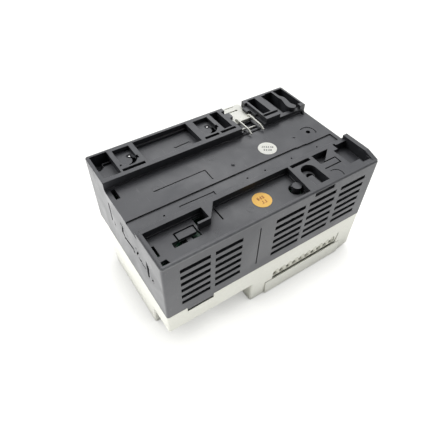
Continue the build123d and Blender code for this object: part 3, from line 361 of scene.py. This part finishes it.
def label_paper(name, base, fleck):
    """Printed paper disc: soft mottling and fibres."""
    g = Graph(name)
    fibres = g.noise(2600.0, 4.0, 0.7)
    colour = g.mix(g.span(g.noise(300.0, 3.0), 0.35, 0.7, 0, 0.5), rgb(*base), rgb(*fleck))
    rough = g.span(fibres, 0.3, 0.7, 0.55, 0.7)
    g.surface(color=colour, roughness=rough, normal=g.bump(fibres, 0.01 * MM, 0.7))
    return g.material


def printed_ink(name, base):
    """Slightly uneven print that lets the ground show through."""
    g = Graph(name)
    patch = g.noise(4000.0, 3.0, 0.6)
    colour = g.mix(g.span(patch, 0.4, 0.75, 0, 0.6), rgb(*base), shade(base, 1.6))
    g.surface(color=colour, roughness=g.span(patch, 0.3, 0.7, 0.45, 0.65))
    return g.material


def circuit_board():
    """Green solder mask with raised traces, tinned pads and white printed outlines."""
    g = Graph("green_board")
    brick = g.add("ShaderNodeTexBrick", {"Vector": g.coords, "Scale": 230.0, "Mortar Size": 0.035,
                  "Color1": rgb(0, 0, 0), "Color2": rgb(1, 1, 1)}, offset=0.37)
    trace = brick.outputs["Fac"]
    fine = g.add("ShaderNodeTexBrick", {"Vector": g.coords, "Scale": 610.0, "Mortar Size": 0.05},
                 offset=0.2).outputs["Fac"]
    zone = g.span(g.noise(70.0, 2.0), 0.48, 0.52)
    lines = g.math("MAXIMUM", g.math("MULTIPLY", trace, zone),
                   g.math("MULTIPLY", fine, g.math("SUBTRACT", 1.0, zone)))
    colour = g.mix(lines, rgb(0.010, 0.085, 0.040), rgb(0.03, 0.20, 0.10))
    colour = g.mix(g.span(g.noise(90.0), 0.3, 0.7, 0, 0.4), colour, rgb(0.008, 0.06, 0.03))
    pads = g.span(g.cells(420.0), 0.22, 0.18)
    pads = g.math("MULTIPLY", pads, g.span(g.noise(110.0, 1.0), 0.5, 0.53))
    colour = g.mix(pads, colour, rgb(0.62, 0.62, 0.58))
    height = g.math("ADD", lines, g.math("MULTIPLY", pads, 1.5))
    g.surface(color=colour, roughness=g.span(pads, 0, 1, 0.34, 0.22), metallic=pads,
              normal=g.bump(height, 0.035 * MM, 0.9))
    return g.material


def woven_tape(name, base, edge_colour, width):
    """Wrapped tape: overlapping turns with a fine weave."""
    g = Graph(name)
    turn = g.math("FRACT", g.math("DIVIDE", g.axis("Z"), width))
    lap = g.span(turn, 0.86, 1.0)
    weave = g.noise(2400.0, 2.0, 0.5)
    colour = g.mix(g.math("MULTIPLY", lap, 0.6), rgb(*base), rgb(*edge_colour))
    colour = g.mix(g.span(weave, 0.4, 0.7, 0, 0.3), colour, shade(base, 0.75))
    normal = g.bump(g.math("ADD", lap, g.math("MULTIPLY", weave, 0.3)), 0.06 * MM, 0.8)
    g.surface(color=colour, roughness=0.34, normal=normal)
    return g.material


def ferrite():
    """Dark gritty ferrite with chipped edges."""
    g = Graph("ferrite")
    grit = g.noise(2600.0, 5.0, 0.75)
    colour = g.mix(g.span(grit, 0.35, 0.7), rgb(0.03, 0.03, 0.032), rgb(0.085, 0.083, 0.08))
    chip = g.math("MULTIPLY", g.edge_mask(0.35 * MM, 0.05, 0.3), g.span(g.noise(300.0), 0.4, 0.6))
    colour = g.mix(g.math("MULTIPLY", chip, 0.5), colour, rgb(0.16, 0.16, 0.15))
    g.surface(color=colour, roughness=0.62, normal=g.bump(grit, 0.03 * MM, 0.8, g.bevel(0.2 * MM)))
    return g.material


def capacitor_sleeve():
    """Shrunk sleeve with a pale stripe; the bare aluminium end shows at the vent."""
    g = Graph("capacitor_sleeve")
    wrinkle = g.noise(260.0, 3.0, 0.5)
    turn = g.math("FRACT", g.math("MULTIPLY", g.axis("X"), 58.0))
    stripe = g.span(g.math("ABSOLUTE", g.math("SUBTRACT", turn, 0.5)), 0.08, 0.07)
    side = g.add("ShaderNodeSeparateXYZ", {0: g.add("ShaderNodeNewGeometry").outputs["Normal"]})
    end = g.span(g.math("MULTIPLY", side.outputs["Z"], -1.0), 0.9, 0.97)
    colour = g.mix(g.math("MULTIPLY", stripe, 0.8), rgb(0.015, 0.022, 0.06), rgb(0.45, 0.47, 0.5))
    colour = g.mix(end, colour, rgb(0.6, 0.6, 0.6))
    g.surface(color=colour, metallic=end, roughness=g.span(wrinkle, 0.3, 0.7, 0.28, 0.4),
              normal=g.bump(wrinkle, 0.05 * MM, 0.6, g.bevel(0.3 * MM)))
    return g.material


def clear_part(name, tint, roughness=0.12, transmission=0.92):
    """Clear or tinted moulded lens with faint flow lines."""
    g = Graph(name)
    flow = g.noise(180.0, 3.0, 0.5, distortion=1.5)
    g.surface(color=g.mix(g.span(flow, 0.3, 0.7), shade(tint, 0.9), rgb(*tint)),
              roughness=g.span(flow, 0.3, 0.7, roughness, roughness + 0.06),
              transmission=transmission, ior=1.49,
              normal=g.bump(flow, 0.02 * MM, 0.4, g.bevel(0.15 * MM)))
    return g.material


def fuse_tube():
    """Glass in the middle, nickel caps at both ends, told apart along the tube."""
    g = Graph("fuse_tube")
    low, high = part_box("fuse")
    cap = 5.2 * MM
    middle = (low.x + high.x) / 2
    reach = (high.x - low.x) / 2 - cap
    away = g.math("ABSOLUTE", g.math("SUBTRACT", g.axis("X"), middle))
    capped = g.span(away, reach - 0.02 * MM, reach + 0.02 * MM)
    tone = g.noise(300.0, 3.0)
    nickel_cap = g.mix(tone, rgb(0.5, 0.48, 0.44), rgb(0.7, 0.68, 0.63))
    colour = g.mix(capped, rgb(0.85, 0.9, 0.88), nickel_cap)
    g.surface(color=colour, metallic=capped, roughness=g.span(tone, 0.3, 0.7, 0.08, 0.2),
              transmission=g.math("MULTIPLY", g.math("SUBTRACT", 1.0, capped), 0.85),
              normal=g.bump(capped, 0.12 * MM, 1.0))
    return g.material


def paint(node, material):
    """Gives a CAD node its finish."""
    mesh = NODES[node].data
    mesh.materials.clear()
    mesh.materials.append(material)


# In these finishes the edge and rim strengths also set painted highlights, and the corner strength sets
# painted shade.
dark_case = moulded_plastic("dark_case_plastic", DARK, (0.24, 0.245, 0.255), 0.44, edge_wear_and_highlight=0.75,
                            corner_shade=0.45, rim_highlight=0.8)
light_case = moulded_plastic("light_case_plastic", LIGHT, (0.78, 0.77, 0.70), 0.42, edge_wear_and_highlight=0.4,
                             dust=0.06, corner_shade=0.3)
latch_white = moulded_plastic("latch_plastic", (0.84, 0.84, 0.765), (0.88, 0.88, 0.82), 0.34,
                              grain=0.004, edge_wear_and_highlight=0.3, dust=0.03, corner_shade=0.35)
terminal_cream = moulded_plastic("terminal_plastic", (0.66, 0.66, 0.57), (0.72, 0.72, 0.64), 0.46,
                                 corner_shade=0.45)
frame_grey = moulded_plastic("frame_plastic", (0.045, 0.046, 0.048), (0.12, 0.12, 0.12), 0.55,
                             grain=0.02)
black_nylon = moulded_plastic("black_plastic", (0.018, 0.018, 0.02), (0.08, 0.08, 0.08), 0.42)
chip_epoxy = moulded_plastic("chip_epoxy", (0.022, 0.022, 0.023), (0.06, 0.06, 0.06), 0.6, grain=0.03)
relay_shell = moulded_plastic("relay_plastic", (0.62, 0.60, 0.50), (0.7, 0.69, 0.62), 0.38)
opto_shell = moulded_plastic("optocoupler_plastic", (0.55, 0.55, 0.52), (0.62, 0.62, 0.6), 0.5)
knob_white = moulded_plastic("knob_plastic", (0.74, 0.74, 0.66), (0.8, 0.8, 0.74), 0.38)
button_red = moulded_plastic("button_plastic", (0.38, 0.012, 0.008), (0.5, 0.05, 0.04), 0.4)
spacer_nylon = moulded_plastic("spacer_nylon", (0.68, 0.67, 0.60), (0.75, 0.74, 0.7), 0.35)
zinc_steel = metal("zinc_steel", (0.62, 0.62, 0.60), 0.26)
nickel = metal("nickel_clamp", (0.60, 0.58, 0.54), 0.3, grain_angle=0.2)
brass = metal("contact_brass", (0.78, 0.58, 0.26), 0.3)
tin = metal("tinned_copper", (0.70, 0.70, 0.69), 0.34)
copper = metal("enamelled_copper", (0.62, 0.24, 0.09), 0.22)
aluminium = metal("sink_aluminium", (0.58, 0.59, 0.60), 0.42, grain_angle=1.57)
stainless = metal("coin_steel", (0.66, 0.66, 0.65), 0.2, tint=0.05)
ferrite_grey = ferrite()
tape = woven_tape("winding_tape", (0.72, 0.50, 0.06), (0.45, 0.28, 0.02), 2.4 * MM)
strip_paper = label_paper("strip_paper", (0.62, 0.64, 0.62), (0.55, 0.57, 0.55))
strip_ink = printed_ink("strip_ink", (0.05, 0.06, 0.07))
FINISHES = {
    dark_case: ["rear_housing"],
    printed_front(light_case): ["front_housing"],
    light_case: ["near_terminal_cover", "far_terminal_cover", "comm_door",
                 "battery_door", "expansion_cover"],
    latch_white: ["din_latch", "latch_spring", "mode_switch_lever"],
    terminal_cream: ["near_terminal_block", "far_terminal_block"],
    frame_grey: ["inner_frame", "expansion_socket"],
    black_nylon: ["comm_port", "battery_holder", "mode_switch_base", "reset_base", "trim_base_1",
                  "trim_base_2", "transformer_base", "cpu_header", "power_header"],
    chip_epoxy: ["processor_chip", "memory_chips", "power_transistors"],
    relay_shell: ["relays"],
    opto_shell: ["optocouplers"],
    knob_white: ["trim_knob_1", "trim_knob_2"],
    button_red: ["reset_button"],
    spacer_nylon: ["board_spacers"],
    driver_worn_screw(): ["case_screws"],
    zinc_steel: ["board_screws", "near_terminal_screws", "far_terminal_screws"],
    nickel: ["near_terminal_clamps", "far_terminal_clamps", "fuse_holder"],
    brass: ["near_terminal_contacts", "far_terminal_contacts"],
    aluminium: ["heat_sink"],
    stainless: ["coin_cell"],
    ferrite_grey: ["transformer_core", "line_choke"],
    tape: ["transformer_winding"],
    capacitor_sleeve(): ["capacitors"],
    clear_part("smoked_window", (0.55, 0.57, 0.56)): ["input_led_window", "output_led_window"],
    clear_part("led_lens", (0.15, 0.75, 0.2), 0.25, 0.6): ["leds"],
    fuse_tube(): ["fuse"],
    circuit_board(): ["power_board", "io_board", "cpu_board"],
    label_paper("white_label_paper", (0.90, 0.90, 0.83), (0.82, 0.82, 0.76)): ["round_label_white"],
    label_paper("orange_label_paper", (1.0, 0.60, 0.13), (0.98, 0.54, 0.11)): ["round_label_orange"],
}
for finish, names in FINISHES.items():
    for node_name in names:
        paint(node_name, finish)


# ---- Small detail pieces ------------------------------------------------
def piece(name, mesh, material, body="case"):
    """A finished mesh that rides on a body."""
    obj = bpy.data.objects.new(name, mesh)
    bpy.context.scene.collection.objects.link(obj)
    mesh.materials.append(material)
    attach(obj, body)
    return obj


def mesh_from(build, name):
    """Mesh filled in by a function that gets an empty bmesh."""
    bm = bmesh.new()
    build(bm)
    bmesh.ops.recalc_face_normals(bm, faces=bm.faces)
    mesh = bpy.data.meshes.new(name)
    bm.to_mesh(mesh)
    bm.free()
    return mesh


def add_bar(bm, x0, x1, y0, y1, z0, z1, soft=0.0):
    """Box with its vertical edges rounded when soft is given."""
    made = bmesh.ops.create_cube(bm, size=1.0)["verts"]
    bmesh.ops.scale(bm, vec=(x1 - x0, y1 - y0, z1 - z0), verts=made)
    bmesh.ops.translate(bm, vec=((x0 + x1) / 2, (y0 + y1) / 2, (z0 + z1) / 2), verts=made)
    if soft:
        edges = {e for v in made for e in v.link_edges}
        upright = [e for e in edges if abs(e.verts[0].co.z - e.verts[1].co.z) > abs(z1 - z0) * 0.5]
        bmesh.ops.bevel(bm, geom=upright, offset=soft, segments=3, affect="EDGES")


def add_lathe(bm, centre, profile, segments):
    """Closed solid of revolution; profile is (radius, height) from bottom to top."""
    rings = []
    for radius, height in profile:
        ring = []
        for i in range(segments):
            a = 2 * math.pi * i / segments
            point = Vector((radius * math.cos(a), radius * math.sin(a), height))
            ring.append(bm.verts.new(Vector(centre) + point))
        rings.append(ring)
    for low, high in zip(rings, rings[1:]):
        for i in range(segments):
            j = (i + 1) % segments
            bm.faces.new((low[i], low[j], high[j], high[i]))
    bm.faces.new(rings[0][::-1])
    bm.faces.new(rings[-1])


def label_print(node, rows, turn, seed, ink, thin=0.2 * MM):
    """Rows of plain dashes on a round sticker, in place of its text.

    A row is (offset from the middle, width, number of marks, height), in millimetres.
    """
    low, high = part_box(node)
    centre = (low + high) / 2
    pick = random.Random(seed)

    def build(bm):
        for offset, width, count, height in rows:
            step = width / count
            for i in range(count):
                x = (-width / 2 + (i + 0.5) * step) * MM
                wide = step * pick.uniform(0.30, 0.38) * MM
                tall = height * MM / 2
                y = offset * MM
                marks = [(x - wide, x - wide + thin * 1.6, y - tall, y + tall),
                         (x - wide, x + wide, y + tall - thin, y + tall)]
                if pick.random() < 0.6:
                    marks.append((x + wide - thin, x + wide, y - tall, y + tall))
                if pick.random() < 0.7:
                    marks.append((x - wide, x + wide, y - thin, y + thin))
                for x0, x1, y0, y1 in marks:
                    add_bar(bm, x0, x1, y0, y1, 0, 0.02 * MM)
        bmesh.ops.rotate(bm, matrix=Matrix.Rotation(math.radians(turn), 3, "Z"), verts=bm.verts)
        bmesh.ops.translate(bm, vec=(centre.x, centre.y, high.z), verts=bm.verts)
    piece(node + "_print", mesh_from(build, node + "_print"), ink)


label_print("round_label_white", [(1.5, 5.4, 4, 1.6), (-1.3, 7.6, 6, 1.6)], 146, 3,
            printed_ink("grey_ink", (0.10, 0.10, 0.09)))
label_print("round_label_orange", [(1.7, 3.8, 2, 2.2), (-1.5, 4.8, 3, 2.2)], 180, 5,
            printed_ink("red_ink", (0.36, 0.05, 0.008)), 0.26 * MM)


def board_places(node, pitch, share, seed, keep_out=()):
    """Places picked from a grid inside a board's outline."""
    low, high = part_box(node)
    pick = random.Random(seed)
    inset = 5.0
    columns = int((high.x - low.x - 2 * inset * MM) / (pitch * MM))
    rows = int((high.y - low.y - 2 * inset * MM) / (pitch * MM))
    chosen = []
    for i in range(columns):
        for j in range(rows):
            x, y = low.x / MM + inset + i * pitch, low.y / MM + inset + j * pitch
            free = all(math.hypot(x - a, y - b) > r for a, b, r in keep_out)
            if pick.random() < share and free:
                chosen.append((x, y))
    return chosen


def solder_joints(name, places, z, up):
    """Tinned fillets with a clipped lead on one face of a board; up is 1 or -1."""
    profile = [(0.85, 0), (0.6, 0.25), (0.34, 0.6), (0.32, 1.0), (0.2, 1.15)]

    def build(bm):
        for x, y in places:
            rings = [(r * MM, up * h * MM) for r, h in profile]
            add_lathe(bm, (x * MM, y * MM, z * MM), rings if up > 0 else rings[::-1], 10)
    piece(name, mesh_from(build, name), tin)


def chip_parts(name, places, z, up):
    """Small surface parts: dark bodies with a tinned cap at each end."""
    half, wide, tall, cap = 1.0, 0.625, 0.55, 0.35
    body = [(-half + cap, half - cap)]
    caps = [(-half, -half + cap), (half - cap, half)]

    def layout(bm, spans):
        z0, z1 = sorted((z, z + up * tall))
        for number, (x, y) in enumerate(places):
            along = number % 3 != 0
            for a, b in spans:
                corner = (x + a, x + b, y - wide, y + wide)
                if not along:
                    corner = (x - wide, x + wide, y + a, y + b)
                add_bar(bm, *[v * MM for v in (*corner, z0, z1)])
    bodies = mesh_from(lambda bm: layout(bm, body), name + "_bodies")
    piece(name + "_bodies", bodies, chip_epoxy)
    ends = mesh_from(lambda bm: layout(bm, caps), name + "_ends")
    piece(name + "_ends", ends, tin)


def chip_legs(node, name, pitch, sides):
    """Gull-wing legs along the sides of every chip of a node, down to its board."""
    half, reach, thick, rise = pitch * 0.25 * MM, 0.9 * MM, 0.2 * MM, 0.7 * MM
    chips = {}
    for group in islands(NODES[node].data):
        xs = [v.x for v in group]
        ys = [v.y for v in group]
        chips[(min(xs), max(xs), min(ys), max(ys))] = min(v.z for v in group)

    def leg(bm, at, edge, way, base, along_x):
        foot = (*sorted((edge, edge + way * reach)), base, base + thick)
        stem = (*sorted((edge, edge + way * reach * 0.45)), base + thick, base + rise)
        for a, b, z0, z1 in (foot, stem):
            box = (at - half, at + half, a, b) if along_x else (a, b, at - half, at + half)
            add_bar(bm, *box, z0, z1)

    def build(bm):
        for (x0, x1, y0, y1), base in chips.items():
            rows = []
            if "y" in sides:
                rows += [(True, x0, x1, y0, -1), (True, x0, x1, y1, 1)]
            if "x" in sides:
                rows += [(False, y0, y1, x0, -1), (False, y0, y1, x1, 1)]
            for along_x, low, high, edge, way in rows:
                count = int((high - low) / (pitch * MM)) - 1
                start = (low + high) / 2 - (count - 1) * pitch * MM / 2
                for i in range(count):
                    leg(bm, start + i * pitch * MM, edge, way, base, along_x)
    piece(name, mesh_from(build, name), tin)


def islands(mesh):
    """The separate solids of a mesh, each as a list of its points."""
    parent = list(range(len(mesh.vertices)))

    def root(i):
        while parent[i] != i:
            parent[i] = parent[parent[i]]
            i = parent[i]
        return i

    for edge in mesh.edges:
        a, b = root(edge.vertices[0]), root(edge.vertices[1])
        parent[a] = b
    keys = {}
    for vertex in mesh.vertices:
        spot = tuple(round(c / (0.01 * MM)) for c in vertex.co)
        if spot in keys:
            parent[root(vertex.index)] = root(keys[spot])
        keys[spot] = vertex.index
    groups = {}
    for vertex in mesh.vertices:
        groups.setdefault(root(vertex.index), []).append(vertex.co.copy())
    return list(groups.values())


def add_ring(bm, centre, normal, major, minor, steps, sides):
    """Torus round a centre; normal is its axis."""
    turn = Vector(normal).to_track_quat("Z", "Y").to_matrix()
    rings = []
    for i in range(steps):
        a = 2 * math.pi * i / steps
        spoke = Vector((math.cos(a), math.sin(a), 0))
        ring = []
        for j in range(sides):
            b = 2 * math.pi * j / sides
            point = spoke * (major + minor * math.cos(b)) + Vector((0, 0, minor * math.sin(b)))
            ring.append(bm.verts.new(Vector(centre) + turn @ point))
        rings.append(ring)
    for i in range(steps):
        for j in range(sides):
            a, b = rings[i], rings[(i + 1) % steps]
            k = (j + 1) % sides
            bm.faces.new((a[j], b[j], b[k], a[k]))


def wound_choke():
    """Ferrite ring with copper turns, for the plain ring of the CAD."""
    low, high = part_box("line_choke")
    centre = (low + high) / 2
    tube = (high.y - low.y) / 2
    major = (high.x - low.x) / 2 - tube
    wire = 0.42 * MM
    core_tube = tube - 2.2 * wire
    ring = mesh_from(lambda bm: add_ring(bm, centre, (0, 1, 0), major, core_tube, 40, 16), "choke_ring")
    core = piece("choke_ring", ring, ferrite_grey)
    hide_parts("line_choke")

    def turns(bm):
        count, gap = 26, 0.16
        for i in range(count):
            a = 2 * math.pi * (i + 0.5) / count
            if abs(math.cos(a)) < gap:
                continue
            spoke = Vector((math.cos(a), 0, math.sin(a)))
            along = Vector((-math.sin(a), 0.12, math.cos(a)))
            add_ring(bm, centre + spoke * major, along, tube - wire * 1.05, wire, 18, 6)
    piece("choke_turns", mesh_from(turns, "choke_turns"), copper)


def gate_marks():
    """Round ejector marks and moulding gates on the rear of the case: low rings."""
    seat, floor, wire = 74.5, 73.0, 0.05
    # x, y, z and radius of each ring
    spots = [(-47, 6, seat, 2.2), (-8, 12, seat, 2.2), (31, 8.5, seat, 1.6), (-35, -36, floor, 1.4),
             (-12, -33, floor, 1.8), (9, -24, floor, 1.4), (-16, 33, 75.4, 1.6)]

    def build(bm):
        for x, y, z, radius in spots:
            add_ring(bm, Vector((x, y, z)) * MM, (0, 0, 1), radius * MM, wire * MM, 32, 6)
    piece("ejector_rings", mesh_from(build, "ejector_rings"), dark_case)


def marker_strip(node, body, name, first, pitch, count):
    """Blank paper marker strip with a tick for each terminal, on a cover's front face."""
    low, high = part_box(node)
    inset, wide = 6.5 * MM, 6.0 * MM
    y0 = low.y + inset if body == "near_cover" else high.y - inset - wide
    y1 = y0 + wide
    x0, x1 = (first - 2) * MM, (first + pitch * count + 2) * MM
    z = low.z

    def strip(bm):
        add_bar(bm, x0, x1, y0, y1, z - 0.12 * MM, z + 0.02 * MM, 0.4 * MM)
    piece(name, mesh_from(strip, name), strip_paper, body)

    def ticks(bm):
        half, thin, margin = 0.7 * MM, 0.3 * MM, 1.5 * MM
        for i in range(count):
            x = (first + (i + 0.5) * pitch) * MM
            for y in (y0 + margin, y1 - margin):
                add_bar(bm, x - half, x + half, y - thin, y + thin, z - 0.14 * MM, z - 0.1 * MM)
    piece(name + "_ticks", mesh_from(ticks, name + "_ticks"), strip_ink, body)


def screw_pins():
    """Polished pin in the middle of each case screw's recess."""
    low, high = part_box("case_screws")
    tops = (high.z, high.z, high.z - NEAR_SCREW_DROP * MM)
    radius, deep = 0.85 * MM, 0.9 * MM
    profile = [(radius, -deep)]
    for a in [math.radians(15 * i) for i in range(6)]:
        profile.append((radius * math.cos(a), radius * 0.7 * (math.sin(a) - 1.0)))

    def build(bm):
        for (x, y), top in zip(CASE_SCREWS, tops):
            add_lathe(bm, (x * MM, y * MM, top), profile, 20)
    mesh = mesh_from(build, "case_screw_pins")
    for face in mesh.polygons:
        face.use_smooth = True
    piece("case_screw_pins", mesh, stainless)


gate_marks()
screw_pins()
wound_choke()
solder_joints("power_board_joints", board_places("power_board", 2.54, 0.2, 11, POWER_KEEP_OUT),
              POWER_BOARD_FACE, 1)
chip_parts("power_board_chips", board_places("power_board", 6.1, 0.5, 12, POWER_KEEP_OUT),
           POWER_BOARD_FACE, 1)
solder_joints("io_board_joints", board_places("io_board", 2.54, 0.12, 13), IO_BOARD_FACE, -1)
chip_parts("cpu_board_chips", board_places("cpu_board", 6.7, 0.2, 14), CPU_BOARD_FACE, 1)
chip_legs("processor_chip", "processor_legs", 0.8, "xy")
chip_legs("memory_chips", "memory_legs", 1.27, "y")
chip_legs("optocouplers", "optocoupler_legs", 2.54, "y")
marker_strip("near_terminal_cover", "near_cover", "near_marker_strip", 2.0, 5.3, 10)
marker_strip("far_terminal_cover", "far_cover", "far_marker_strip", -40.4, 5.3, 18)


def studio_floor():
    """Pale floor: glows for the object, holds soft shadows for the camera, clear from below."""
    mesh = bpy.data.meshes.new("floor")
    corners = [(-1, -1), (1, -1), (1, 1), (-1, 1)]
    mesh.from_pydata([(x * FLOOR_SIDE, y * FLOOR_SIDE, 0) for x, y in corners], [], [(0, 1, 2, 3)])
    floor = bpy.data.objects.new("floor", mesh)
    bpy.context.scene.collection.objects.link(floor)
    g = Graph("floor_paper")
    g.surface(color=rgb(*FLOOR_COLOUR), roughness=0.9, specular=0.0,
              normal=g.bump(g.noise(700.0), 0.02 * MM, 0.3))
    g.set(g.bsdf.inputs["Emission Color"], rgb(1.0, 1.0, 0.975))
    contact = g.add("ShaderNodeAmbientOcclusion", {"Distance": CONTACT_REACH}, samples=12)
    g.set(g.bsdf.inputs["Emission Strength"], g.span(contact.outputs["AO"], 0.2, 0.85, *FLOOR_SHADE))
    gap_x = g.math("SUBTRACT", g.math("ABSOLUTE", g.axis("X")), HALF_CASE[0])
    gap_y = g.math("SUBTRACT", g.math("ABSOLUTE", g.axis("Y")), HALF_CASE[1])
    near = g.span(g.math("MAXIMUM", gap_x, gap_y), -0.3 * FLOOR_REACH, FLOOR_REACH, FLOOR_UNDER, 1.0)
    back_left = g.math("SUBTRACT", g.axis("Y"), g.axis("X"))
    strength = g.span(back_left, -0.05, 0.12, *FLOOR_GLOW)
    glow = g.add("ShaderNodeEmission", {"Color": rgb(1.0, 1.0, 0.985),
                 "Strength": g.math("MULTIPLY", near, strength)})
    seen = g.add("ShaderNodeLightPath").outputs["Is Camera Ray"]
    lit = g.add("ShaderNodeMixShader", {0: seen, 1: glow.outputs[0], 2: g.bsdf.outputs[0]})
    eye = g.add("ShaderNodeVectorTransform", {"Vector": (0, 0, 0)}, vector_type="POINT",
                convert_from="CAMERA", convert_to="WORLD").outputs[0]
    height = g.add("ShaderNodeSeparateXYZ", {0: eye}).outputs["Z"]
    clear = g.add("ShaderNodeBsdfTransparent").outputs[0]
    choose = g.add("ShaderNodeMixShader", {0: g.span(height, -0.001, 0.001), 1: clear,
                   2: lit.outputs[0]})
    g.set(g.out.inputs[0], choose.outputs[0])
    mesh.materials.append(g.material)
    return floor


def lower_for_doors(floor):
    """The floor sinks as the covers and doors swing down, so that they stay clear of it."""
    leaves = {"near_cover": "near_terminal_cover", "far_cover": "far_terminal_cover",
              "comm_door_leaf": "comm_door", "battery_door_leaf": "battery_door"}
    drive = floor.driver_add("location", 2).driver
    terms = []
    for number, (body, node) in enumerate(leaves.items()):
        low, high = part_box(node)
        along_x = body.endswith("cover")
        length = (high.y - low.y) if along_x else (high.x - low.x)
        variable = drive.variables.new()
        variable.name = f"v{number}"
        variable.type = "TRANSFORMS"
        variable.targets[0].id = frame["bodies"][body]
        variable.targets[0].transform_type = "ROT_X" if along_x else "ROT_Y"
        variable.targets[0].transform_space = "WORLD_SPACE"
        terms.append(f"{length + 2 * MM:.4f}*abs(sin({variable.name}))")
    drive.type = "SCRIPTED"
    drive.expression = f"-{FLOOR_DROP:.5f} - max({', '.join(terms)})"


def studio_world():
    """Wide soft window behind and above; the rest of the room is dim; pale to the camera."""
    world = bpy.data.worlds.new("room")
    world.use_nodes = True
    tree = world.node_tree
    tree.nodes.clear()

    def node(kind, inputs, **props):
        """Adds a node and returns its outputs."""
        made = tree.nodes.new(kind)
        for key, value in props.items():
            setattr(made, key, value)
        for key, value in inputs.items():
            if isinstance(value, bpy.types.NodeSocket):
                tree.links.new(value, made.inputs[key])
            else:
                made.inputs[key].default_value = value
        return made.outputs

    ray = tree.nodes.new("ShaderNodeTexCoord").outputs["Generated"]
    height = node("ShaderNodeSeparateXYZ", {0: ray})["Z"]
    toward = node("ShaderNodeVectorMath", {0: ray, 1: WINDOW_HEADING},
                  operation="DOT_PRODUCT")["Value"]
    ahead, above = [
        node("ShaderNodeMapRange", {"Value": value, "From Min": low, "From Max": high},
             interpolation_type="SMOOTHSTEP")[0]
        for value, (low, high) in ((toward, WINDOW_EDGE), (height, WINDOW_FOOT))]
    window = node("ShaderNodeMath", {0: ahead, 1: above}, operation="MULTIPLY")[0]
    aside = node("ShaderNodeVectorMath", {0: ray, 1: WINDOW_SIDE}, operation="DOT_PRODUCT")["Value"]
    fade = node("ShaderNodeMapRange", {"Value": aside, "From Max": 0.6, "To Min": 1.0,
                "To Max": 0.7})[0]
    window = node("ShaderNodeMath", {0: window, 1: fade}, operation="MULTIPLY")[0]
    window = node("ShaderNodeMapRange", {"Value": window, "To Min": ROOM_GLOW,
                  "To Max": WINDOW_GLOW})[0]
    below = node("ShaderNodeMapRange", {"Value": height, "From Min": 0.0, "From Max": -0.05,
                 "To Max": BELOW_GLOW})[0]
    glow = node("ShaderNodeMath", {0: window, 1: below}, operation="ADD")[0]
    light = node("ShaderNodeBackground", {"Color": (0.985, 0.99, 1.0, 1.0), "Strength": glow})[0]
    backdrop = node("ShaderNodeBackground", {"Color": (0.985, 0.985, 0.975, 1.0), "Strength": 1.0})[0]
    seen = tree.nodes.new("ShaderNodeLightPath").outputs["Is Camera Ray"]
    shader = node("ShaderNodeMixShader", {0: seen, 1: light, 2: backdrop})[0]
    output = tree.nodes.new("ShaderNodeOutputWorld")
    tree.links.new(shader, output.inputs[0])
    bpy.context.scene.world = world


def soft_light(name, place, target, size, watts):
    """Round area light aimed at a point."""
    data = bpy.data.lights.new(name, "AREA")
    data.shape = "DISK"
    data.size = size
    data.energy = watts
    light = bpy.data.objects.new(name, data)
    light.location = place
    aim = Vector(target) - Vector(place)
    light.rotation_euler = aim.to_track_quat("-Z", "Y").to_euler()
    bpy.context.scene.collection.objects.link(light)


def place_camera():
    """Camera at the given angle and distance, turned slightly about its own axis."""
    data = bpy.data.cameras.new("camera")
    data.lens = LENS
    data.sensor_width = 36.0
    data.clip_start = 0.01
    camera = bpy.data.objects.new("camera", data)
    a, e = math.radians(CAMERA_AZIMUTH), math.radians(CAMERA_ELEVATION)
    back = Vector((math.sin(a) * math.cos(e), -math.cos(a) * math.cos(e), math.sin(e)))
    turn = (-back).to_track_quat("-Z", "Y").to_matrix()
    roll = Matrix.Rotation(math.radians(CAMERA_ROLL), 3, "Z")
    camera.matrix_world = Matrix.Translation(AIM + back * CAMERA_DISTANCE) @ (turn @ roll).to_4x4()
    bpy.context.scene.collection.objects.link(camera)
    bpy.context.scene.camera = camera


lower_for_doors(studio_floor())
studio_world()
soft_light("window_glint", (0.45, 0.65, 0.9), (0, 0, 0.03), 0.5, 2.0)
place_camera()
bpy.context.scene.view_settings.view_transform = "Standard"
